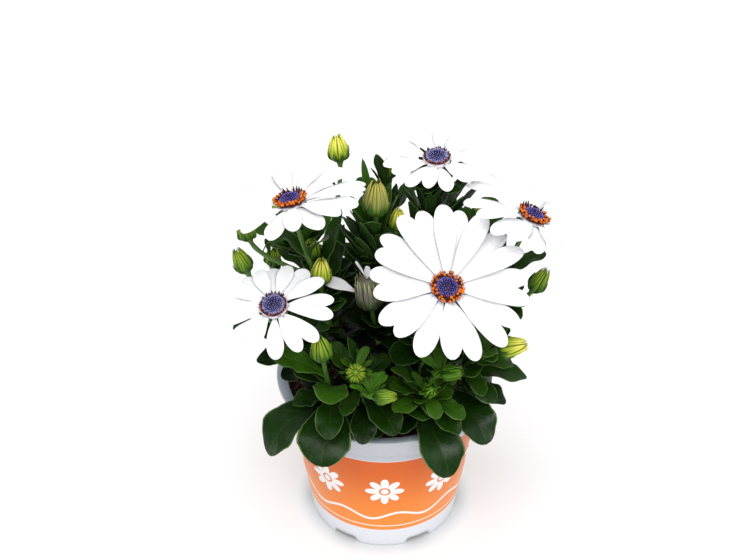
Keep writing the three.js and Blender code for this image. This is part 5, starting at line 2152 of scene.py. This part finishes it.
@dataclass(frozen=True)
class PetalMaker:
    """Makes fine petals: a shallow trough with two furrows and a rounded, faintly notched tip."""

    thickness: float = 0.36
    trough: float = 0.10
    furrow: float = 0.10
    furrow_at: float = 0.38
    furrow_width: float = 0.12
    wave: float = 0.07
    curl: float = 0.16
    notch: float = 0.03
    tip_width: float = 0.03
    tip_crowding: float = 1.5
    columns: tuple[float, ...] = (1, 0.93, 0.7, 0.42, 0.2, 0, -0.2, -0.42, -0.7, -0.93, -1)
    stations: int = 22

    def add(self, skin: Skin, petal: Blade, draw: Draw, stance: Stance) -> None:
        """Adds a petal to a skin.

        Args:
            skin: The skin.
            petal: The petal, in its head's frame.
            draw: Where its own numbers come from.
            stance: The head's frame.
        """
        shares = 1 - (1 - np.linspace(0, 1, self.stations)) ** self.tip_crowding
        at, along, side, normal = petal.line(shares)
        half = np.array([0.5 * petal.width * petal_outline(s) for s in shares])
        half[-1] = self.tip_width * petal.width
        cols = np.array(self.columns)
        off = np.abs(cols)
        phase, twist = draw.next(), draw.between(-1, 1)
        notch = draw.between(0.0, self.notch) * petal.length
        groove = self.furrow * np.exp(-((off - self.furrow_at) / self.furrow_width) ** 2)
        thick = self.thickness * (1 - 0.35 * off)
        upper, lower = [], []
        for i, share in enumerate(shares):
            h = half[i]
            wave = self.wave * h * math.sin(TURN * (share * 1.4 + phase)) * cols * off
            curl = self.curl * h * twist * cols * smooth(0.5, 1.0, share)
            middle = self.trough * h * off ** 1.6 - groove * min(1, h / 2) + wave + curl
            top, bottom = middle + thick / 2, middle - thick / 2
            top[[0, -1]] = bottom[[0, -1]] = middle[[0, -1]]
            back = -notch * smooth(0.9, 1.0, share) * (1 - off)
            line = at[i] + np.outer(h * cols, side[i]) + np.outer(back, along[i])
            upper.append(line + np.outer(top, normal[i]))
            lower.append(line + np.outer(bottom, normal[i]))
        skin.add_blade(upper, lower, shares, cols, (draw.next(), 0, 0), stance)


@dataclass(frozen=True)
class DiscMaker:
    """Makes the florets of a bloom's disc and the anthers round it, in the bloom's frame.

    On the far side of a leaning bloom the florets have not opened, and their dark tubes stand up.
    """

    dome_radius: float = 4.6
    young_radius: float = 5.9
    dome_height: float = 2.6
    florets: int = 110
    young_florets: int = 150
    rows: tuple[tuple[float, int], ...] = ((6.8, 26), (5.7, 22))
    young_rows: tuple[tuple[float, int], ...] = ((7.1, 26), (6.2, 22))
    shut_width: float = 58.0
    golden_angle: float = math.radians(137.508)

    @staticmethod
    def stance(bloom: Bloom) -> Stance:
        """The bloom's stance, made smaller or larger about the disc's base.

        Args:
            bloom: The bloom.

        Returns:
            The disc's frame.
        """
        whole = bloom_stance(bloom)
        lift = whole.turn[:, 2] * (HEAD.hub_height + GAP) * (1 - bloom.disc)
        return Stance(whole.turn * bloom.disc, whole.origin + lift)

    def dome(self, bloom: Bloom, share: float) -> Pair:
        """Radius and height on the dome at a share of the way from its top to its rim.

        Args:
            bloom: The bloom.
            share: The share.

        Returns:
            The radius and the height.
        """
        turn = share * math.pi / 2
        wide = self.young_radius if bloom.stage is DiscStage.YOUNG else self.dome_radius
        return wide * math.sin(turn) ** 0.85, self.dome_height * math.cos(turn)

    def florets_skin(self, bloom: Bloom) -> Skin:
        """The dome of closed florets.

        Args:
            bloom: The bloom.

        Returns:
            The skin.
        """
        skin = Skin()
        stance = self.stance(bloom)
        base = HEAD.hub_height + GAP
        rings = []
        for share in (1.0, 0.86, 0.66, 0.42, 0.2, 0.04):
            radius, height = self.dome(bloom, share)
            rings.append(circle(radius * 0.97, base + height * 0.86, 28))
        rings.insert(0, circle(self.dome(bloom, 1.0)[0] * 0.95, base - 0.4, 28))
        skin.loft(np.array(rings), stance=stance)
        draw = Draw(5003 + bloom.petals)
        count = self.young_florets if bloom.stage is DiscStage.YOUNG else self.florets
        for i in range(count):
            share = math.sqrt((i + 0.5) / count)
            angle = i * self.golden_angle
            radius, height = self.dome(bloom, share * 0.97)
            tilt = 0.75 * share
            out = vec((math.cos(angle), math.sin(angle), 0))
            centre = out * radius + vec((0, 0, base + height * 0.82))
            axis = unit(out * math.sin(tilt) + vec((0, 0, math.cos(tilt))))
            size = (0.30 + 0.17 * share) * draw.between(0.85, 1.15)
            self.add_floret(skin, stance, centre, axis, size, draw)
        return skin

    @staticmethod
    def add_floret(skin: Skin, stance: Stance, centre: Array, axis: Array, size: float,
                   draw: Draw) -> None:
        """Adds a closed floret: a five-lobed club.

        Args:
            skin: The skin to add to.
            stance: The disc's frame.
            centre: Its foot.
            axis: Its direction.
            size: Its radius.
            draw: Where its own numbers come from.
        """
        side = unit(np.cross(axis, vec((0.21, 0.34, 0.1))))
        other = np.cross(axis, side)
        tall = size * draw.between(2.0, 3.0)
        corner = draw.between(0, TURN) + np.arange(10) * TURN / 10
        rings = []
        for radial, along in ((0.62, 0.0), (0.95, 0.35), (0.95, 0.62), (0.55, 0.86), (0.10, 1.0)):
            lobes = size * radial * (1 + 0.2 * np.cos(corner * 5) * along)
            around = np.outer(np.cos(corner) * lobes, side) + np.outer(np.sin(corner) * lobes, other)
            rings.append(centre + axis * tall * along + around)
        blade = np.zeros((5, 10, 3))
        blade[:, :, 0] = np.array([0.0, 0.4, 0.7, 0.9, 1.0])[:, None]
        skin.loft(np.array(rings), blade, (draw.next(), 0, 0), stance)

    @staticmethod
    def rod(skin: Skin, stance: Stance, start: Array, axis: Array, radii: Sequence[float],
            kind: Triple) -> None:
        """Adds a round rod along an axis, whose length it has, with a radius at even places.

        Args:
            skin: The skin to add to.
            stance: The disc's frame.
            start: Its foot.
            axis: Its direction, as long as the rod.
            radii: Its radii.
            kind: Its kind value.
        """
        side = unit(np.cross(axis, vec((0.3, 0.2, 1))))
        other = unit(np.cross(axis, side))
        angles = np.arange(8) * TURN / 8
        shares = np.linspace(0, 1, len(radii))
        rings = np.array([
            start + axis * s + r * (np.outer(np.cos(angles), side) + np.outer(np.sin(angles), other))
            for s, r in zip(shares, radii)])
        blade = np.zeros(rings.shape)
        blade[:, :, 0] = shares[:, None]
        skin.loft(rings, blade, kind, stance)

    def is_shut(self, bloom: Bloom, angle: float) -> bool:
        """Whether the florets at an angle round the disc are still shut.

        Args:
            bloom: The bloom.
            angle: The angle.

        Returns:
            True if they are.
        """
        leaning = bloom.facing[1] > -0.2 or bloom.stage is DiscStage.YOUNG
        away = abs((math.degrees(angle) - 90 + 180) % 360 - 180)
        return leaning and away < self.shut_width

    def anthers_skin(self, bloom: Bloom) -> Skin:
        """The rings of open florets: dark tubes, and orange anthers where they have opened.

        Args:
            bloom: The bloom.

        Returns:
            The skin.
        """
        skin = Skin()
        stance = self.stance(bloom)
        base = HEAD.hub_height + GAP
        young = bloom.stage is DiscStage.YOUNG
        wide = 0.4 if young else 0.0
        rows = ((4.6, base), (7.3 + wide, base), (6.9 + wide, base + 0.5), (4.8, base + 0.7))
        skin.loft(np.array([circle(r, z, 40) for r, z in rows]), kind=(0.3, 0, 0), stance=stance)
        draw = Draw(6007 + bloom.petals + int(bloom.reach))
        for ring, (mean, count) in enumerate(self.young_rows if young else self.rows):
            for i in range(count):
                angle = (i + 0.5 * ring + draw.between(-0.3, 0.3)) * TURN / count
                out = vec((math.cos(angle), math.sin(angle), 0))
                around = vec((-math.sin(angle), math.cos(angle), 0))
                lean = draw.between(-0.1, 0.35) if ring else draw.between(0.2, 0.7)
                axis = unit(vec((0, 0, 1)) + out * lean + around * draw.between(-0.25, 0.25))
                start = out * (mean + draw.between(-0.35, 0.35)) + vec((0, 0, base + 0.1))
                axis = axis * (draw.between(1.0, 1.5) if young else draw.between(1.4, 2.0))
                self.add_open_floret(skin, stance, start, axis, (out, around), ring, young,
                                     self.is_shut(bloom, angle), draw)
        return skin

    def add_open_floret(self, skin: Skin, stance: Stance, start: Array, axis: Array,
                        level: tuple[Array, Array], ring: int, young: bool, shut: bool, draw: Draw) -> None:
        """Adds a floret of the rings: its tube, its five lobes, and what stands in its mouth.

        Args:
            skin: The skin.
            stance: The disc's frame.
            start: The tube's foot.
            axis: The tube's direction, as long as the tube.
            level: The directions outward and round the disc.
            ring: 0 for the outer ring, 1 for the inner one.
            young: Whether the disc is young.
            shut: Whether the floret hasn't opened.
            draw: Where its own numbers come from.
        """
        out, around = level
        upward = unit(axis)
        seed, choice = draw.next(), draw.next()
        pale = 1.0 if young and ring == 1 and not shut and seed < 0.7 else 0.0
        self.rod(skin, stance, start, axis, (0.26, 0.38, 0.46, 0.36), (seed, 0, pale))
        for lobe in range(5):
            turn = lobe * TURN / 5 + seed
            fan = unit(upward * 0.5 + out * math.cos(turn) + around * math.sin(turn)) * draw.between(0.7, 1.1)
            self.rod(skin, stance, start + axis * 0.75, fan, (0.2, 0.24, 0.06), (seed, 0, pale))
        mouth = start + axis * 0.6
        open_share = 0.5 - 0.4 * ring if young else 1.0 - 0.1 * ring
        if shut and ring == 0 and choice < 0.6:
            tube = upward * draw.between(1.6, 2.4)
            self.rod(skin, stance, mouth, tube, (0.3, 0.36, 0.32, 0.16), (seed, 0, 0))
        elif not shut and choice < open_share:
            knob = draw.between(1.15, 1.55) * (0.55 if young else 1)
            anther = upward * draw.between(1.0, 1.6)
            radii = (0.3 * knob, 0.5 * knob, 0.56 * knob, 0.46 * knob, 0.2)
            self.rod(skin, stance, mouth, anther, radii, (seed, 1, 0))


@dataclass(frozen=True)
class BloomPiece:
    """Makes an open bloom, in place of its petals, florets and anthers."""

    bloom: Bloom

    def petals(self) -> Skin:
        """The wreath of petals, their roots tucked under the disc.

        Returns:
            Their skin.
        """
        skin = Skin()
        stance = bloom_stance(self.bloom)
        draw = Draw(311 + self.bloom.petals * 7 + int(self.bloom.reach))
        for petal in bloom_petals(self.bloom):
            PetalMaker().add(skin, petal, draw, stance)
        hub = np.array([circle(r, z, 30) for r, z in ((5.2, 0.1), (6.5, 0.5), (6.6, 1.5), (5.6, 2.3))])
        skin.loft(hub, (0.05, 0, 0), (0.5, 0, 0), stance)
        return skin

    def build(self, petal: bpy.types.Material, floret: bpy.types.Material,
              anther: bpy.types.Material) -> None:
        """Builds the three pieces.

        Args:
            petal: The material of petals.
            floret: The material of closed florets.
            anther: The material of open florets.
        """
        name = self.bloom.name
        disc = DiscMaker()
        for skin, label, finish, slot, node in (
            (self.petals(), "rays", petal, "petals", "petals"),
            (disc.florets_skin(self.bloom), "florets", floret, "florets", "disc"),
            (disc.anthers_skin(self.bloom), "stamens", anther, "anthers", "anthers"),
        ):
            made = skin.build(f"{label}_{name}", finish, slot)
            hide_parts(f"{node}_{name}")


# ---- Pot and soil


@dataclass(frozen=True)
class PotPiece:
    """Makes the pot: a turned wall with a rolled lip, a stepped collar and a notched foot."""

    size: PotSize = POT
    segments: int = 192
    # How much of the inside's painted shade the rim's top takes.
    rim_painted_shade: float = 0.45

    def profile(self) -> list[tuple[float, float, float]]:
        """Radius, height and how much of the inside's painted shade it takes, round the wall's section.

        Returns:
            The rows, from the middle of the underside to the middle of the floor.
        """
        s = self.size
        inmost = s.foot_radius - s.foot_width
        waist = s.radius(s.collar_base)
        collar = waist + s.collar_step
        outer = [(0.01, 0), (s.pad_radius, 0), (s.pad_radius + s.recess, s.recess),
                 (inmost - s.recess, s.recess), (inmost, 0.15), (inmost + 0.3, 0),
                 (s.foot_radius - 0.4, 0), (s.foot_radius, 0.4)]
        outer += [(s.radius(z), z) for z in (1.6, 2.6, 4.0)]
        outer += [(s.radius(z), z) for z in np.linspace(6, s.collar_base - 0.3, 24)]
        start = s.collar_base + s.collar_rise
        outer += [(waist, s.collar_base), (waist + 0.5, s.collar_base + 0.12),
                  (collar - 0.25, start - 0.3), (collar, start)]
        top = s.height - s.lip
        shoulder = s.rim_radius - s.lip_step
        climb = top - s.lip_step - start
        outer += [(collar + (shoulder - collar) * k, start + climb * k) for k in (0.33, 0.66, 1)]
        outer += [(s.rim_radius - 0.15, top - 0.1), (s.rim_radius, top + 0.15),
                  (s.rim_radius, s.height - 0.35), (s.rim_radius - 0.12, s.height - 0.1),
                  (s.rim_radius - 0.4, s.height)]
        edge = s.rim_radius - s.rim_width
        inner = [(s.rim_radius - 1.4, s.height - 0.05), (edge + 0.5, s.height - s.rim_drop + 0.05),
                 (edge, s.height - s.rim_drop - 0.5), (waist - s.wall + 0.2, s.collar_base + 1),
                 (waist - s.wall, s.collar_base)]
        inner += [(s.radius(z) - s.wall, z) for z in (60.0, 40.0, 20.0, s.floor + s.recess)]
        inner += [(0.01, s.floor + s.recess)]
        shares = [self.rim_painted_shade, self.rim_painted_shade] + [1.0] * (len(inner) - 2)
        return [(r, z, 0.0) for r, z in outer] + [(r, z, share) for (r, z), share in zip(inner, shares)]

    def build(self, finish: bpy.types.Material) -> None:
        """Builds the pot.

        Args:
            finish: Its material.
        """
        s = self.size
        angles = np.arange(self.segments) * TURN / self.segments
        skin = Skin()
        pitch = TURN / s.notches
        start = math.radians(s.notch_turn - 90)
        offset = np.abs((angles - start) % pitch - pitch / 2) * s.foot_radius
        raised = 1 - smooth(s.notch_width / 2 - 0.7, s.notch_width / 2 + 0.5, offset)
        rings, blades = [], []
        for radius, z, inner in self.profile():
            lift = np.full(len(angles), z)
            if radius > s.foot_radius - s.foot_width - 0.1 and z < s.notch_height:
                lift = z + raised * (s.notch_height + 0.25 * z - z)
            rings.append(np.stack([radius * np.cos(angles), radius * np.sin(angles), lift], axis=1))
            blades.append(np.tile([0, 0, inner], (len(angles), 1)))
        skin.loft(np.array(rings), np.array(blades))
        made = skin.build("grower_pot", finish, "pot")
        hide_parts("pot")


@dataclass(frozen=True)
class SoilPiece:
    """Makes the peat: a lumpy bed with crumbs and fibres on it."""

    size: SoilSize = SOIL
    crumbs: int = 1500
    crumb_size: Pair = (0.35, 1.25)
    crumb_margin: float = 1.2
    fibres: int = 420
    fibre_length: Pair = (3, 8)
    fibre_margin: float = 3.0
    lumps: float = 0.45
    segments: int = 120
    rings: int = 34

    def level(self, x: Union[Array, float], y: Union[Array, float]) -> Union[Array, float]:
        """The height of the bed at a place.

        Args:
            x: The place, to the right.
            y: The place, to the back.

        Returns:
            The height.
        """
        waves = (np.sin(x * 0.31 + 1.3) * np.sin(y * 0.27 + 0.4) + 0.6 * np.sin(x * 0.83 + y * 0.5)
                 + 0.5 * np.sin(y * 1.07 - x * 0.36) + 0.35 * np.sin(x * 2.1 + 2) * np.sin(y * 1.9))
        return self.size.top + self.lumps * waves

    def build(self, finish: bpy.types.Material) -> None:
        """Builds the bed.

        Args:
            finish: Its material.
        """
        skin = Skin()
        edge = POT.radius(POT.collar_base) - POT.wall - GAP
        rings = []
        for z in (POT.floor + POT.recess + GAP, 30.0, 60.0, 76.0):
            rings.append(circle(POT.radius(z) - POT.wall - GAP, z, self.segments))
        for radius in edge * (1 - np.linspace(0, 1, self.rings)) ** 0.8:
            ring = circle(max(radius, 0.02), 0, self.segments)
            wobble = 1 + 0.004 * np.sin(np.arange(self.segments) * 1.7)
            ring[:, :2] *= wobble[:, None] if radius < edge - 0.5 else 1
            ring[:, 2] = self.level(ring[:, 0], ring[:, 1]) - self.size.edge_drop * (radius / edge) ** 8
            rings.append(ring)
        skin.loft(np.array(rings), kind=(0.4, 0, 0))
        draw = Draw(2203)
        for _ in range(self.crumbs):
            radius, angle = (edge - self.crumb_margin) * math.sqrt(draw.next()), draw.between(0, TURN)
            self.add_crumb(skin, radius, angle, draw)
        for _ in range(self.fibres):
            radius, angle = (edge - self.fibre_margin) * math.sqrt(draw.next()), draw.between(0, TURN)
            self.add_fibre(skin, radius, angle, draw)
        made = skin.build("peat", finish, "soil")
        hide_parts("soil")

    def add_crumb(self, skin: Skin, radius: float, angle: float, draw: Draw) -> None:
        """Adds an uneven crumb.

        Args:
            skin: The skin to add to.
            radius: How far from the middle it lies.
            angle: At which angle.
            draw: Where its own numbers come from.
        """
        x, y = radius * math.cos(angle), radius * math.sin(angle)
        size = draw.between(*self.crumb_size)
        rows = []
        for r, z in ((0.25, -0.7), (0.9, -0.25), (0.95, 0.3), (0.3, 0.75)):
            ring = circle(size * r, size * z, 6, draw.next())
            ring[:, :2] *= 1 + 0.3 * np.sin(np.arange(6) * 2.4 + draw.next() * 6)[:, None]
            ring[:, 2] += 0.2 * size * np.sin(np.arange(6) * 1.9 + draw.next() * 6)
            rows.append(ring)
        body = np.array(rows) + vec((x, y, self.level(x, y) + 0.35 * size))
        skin.loft(body, kind=(draw.next(), 0, 0.1))

    def add_fibre(self, skin: Skin, radius: float, angle: float, draw: Draw) -> None:
        """Adds a thin crooked fibre.

        Args:
            skin: The skin to add to.
            radius: How far from the middle it starts.
            angle: At which angle.
            draw: Where its own numbers come from.
        """
        x, y = radius * math.cos(angle), radius * math.sin(angle)
        z = self.level(x, y) + 0.7
        heading = draw.between(0, TURN)
        length = draw.between(*self.fibre_length)
        start = vec((x, y, z))
        end = start + length * vec((math.cos(heading), math.sin(heading), draw.between(-0.05, 0.12)))
        if math.hypot(end[0], end[1]) > POT.radius(POT.collar_base) - POT.wall - 2:
            return
        bow = vec((-math.sin(heading), math.cos(heading), 0.4)) * draw.between(-0.3, 0.3) * length
        curve = Bezier(start, start + (end - start) * 0.3 + bow, end - (end - start) * 0.3 - bow * 0.4, end)
        radii = np.array([0.06, 0.16, 0.18, 0.16, 0.12, 0.04]) * draw.between(0.8, 1.5)
        rings = tube_rings(curve, np.linspace(0, 1, len(radii)), radii, 5)
        skin.loft(rings, kind=(draw.next(), 0, 1))


# ---- Studio


@dataclass(frozen=True)
class Lamp:
    """A square lamp: place, width and power."""

    name: str
    at: Triple
    size: float
    power: float


@dataclass(frozen=True)
class Studio:
    """The floor, the light and the camera, in metres."""

    distance: float = 0.900
    elevation: float = 37.67
    aim: Triple = (-0.0049, 0.0, 0.1463)
    lens: float = 87.93
    lit: Triple = (0.0, 0.0, 0.12)
    floor_reach: float = 6.0
    floor_colour: Triple = (0.74, 0.74, 0.745)
    sky_strength: float = 0.50
    floor_glow: float = 0.25
    # Between these radii from the axis the floor's glow fades in: a painted contact shadow round the pot's
    # foot.
    painted_shadow_radii: Pair = (0.038, 0.048)
    sky_colour: Triple = (0.97, 0.985, 1.0)
    sensor: float = 36.0
    clip: Pair = (0.05, 20)
    lamps: tuple[Lamp, ...] = (
        Lamp("overhead", (-0.04, -0.40, 1.6), 1.9, 33), Lamp("front", (0.5, -1.6, 1.1), 1.0, 10))

    def camera(self) -> None:
        """Makes the camera and gives it to the scene."""
        data = bpy.data.cameras.new("camera")
        data.lens = self.lens
        data.sensor_width = self.sensor
        data.clip_start, data.clip_end = self.clip
        made = bpy.data.objects.new("camera", data)
        tilt = math.radians(self.elevation)
        x, y, z = self.aim
        made.location = (x, y - self.distance * math.cos(tilt), z + self.distance * math.sin(tilt))
        made.rotation_euler = (math.pi / 2 - tilt, 0, 0)
        bpy.context.scene.collection.objects.link(made)
        bpy.context.scene.camera = made

    def light(self, lamp: Lamp) -> None:
        """Makes a lamp that faces the plant.

        Args:
            lamp: The lamp.
        """
        data = bpy.data.lights.new(lamp.name, "AREA")
        data.shape = "SQUARE"
        data.size = lamp.size
        data.energy = lamp.power
        made = bpy.data.objects.new(lamp.name, data)
        made.location = lamp.at
        x, y, z = vec(self.lit) - vec(lamp.at)
        made.rotation_euler = (math.atan2(math.hypot(x, y), -z), 0, math.atan2(x, -y) + math.pi)
        bpy.context.scene.collection.objects.link(made)

    def floor(self) -> None:
        """Makes the floor: evenly bright, but for a painted contact shadow round the pot's foot."""
        mesh = bpy.data.meshes.new("floor")
        far = self.floor_reach
        mesh.from_pydata([(-far, -far, 0), (far, -far, 0), (far, far, 0), (-far, far, 0)], [], [(0, 1, 2, 3)])
        g = Graph("floor")
        x, y, _ = g.split(g.place())
        # Painted contact shadow: the floor's glow fades out near the pot's foot.
        away = g.math("SQRT", x * x + y * y).step(*self.painted_shadow_radii)
        glow_with_painted_shadow = g.mix(away, (0.0, 0.0, 0.0), self.floor_colour)
        mesh.materials.append(g.finish(
            Base_Color=(*self.floor_colour, 1), Roughness=0.8, Emission_Color=glow_with_painted_shadow,
            Emission_Strength=self.floor_glow))
        made = bpy.data.objects.new("floor", mesh)
        bpy.context.scene.collection.objects.link(made)

    def build(self) -> None:
        """Builds the studio round the plant."""
        world = bpy.data.worlds.new("studio")
        world.use_nodes = True
        background = world.node_tree.nodes["Background"]
        background.inputs[0].default_value = (*self.sky_colour, 1)
        background.inputs[1].default_value = self.sky_strength
        bpy.context.scene.world = world
        bpy.context.scene.view_settings.view_transform = "Standard"
        self.floor()
        for lamp in self.lamps:
            self.light(lamp)


# ---- All together


def save_sizes() -> None:
    """Updates the view layer."""
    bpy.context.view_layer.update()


def main() -> None:
    """Builds the plant, its pot and the studio."""
    logging.basicConfig(level=logging.INFO, format="%(message)s")
    studio = Studio()
    studio.camera()
    plant = Plant()
    leaves = sum(len(shoot.blades) for shoot in plant.shoots)
    LOG.info("leaves: %d in the solids, %d in all", plant.solid_leaves, leaves)
    leaf, stem, petal = LeafFinish().material(), StemFinish().material(), PetalFinish().material()
    florets = {stage: FloretFinish().material(stage) for stage in DiscStage}
    anther = AntherFinish().material()
    buds = {kind: finish.material() for kind, finish in BUD_FINISHES.items()}
    PotPiece().build(PotFinish().material())
    SoilPiece().build(SoilFinish().material())
    for shoot in plant.shoots:
        ShootPiece(shoot).build(leaf, stem)
    for bloom in BLOOMS.values():
        BloomPiece(bloom).build(petal, florets[bloom.stage], anther)
    for name, bud in BUDS.items():
        BudPiece(name, bud).build(buds, petal)
    studio.build()
    save_sizes()


if __name__ == "__main__":
    main()
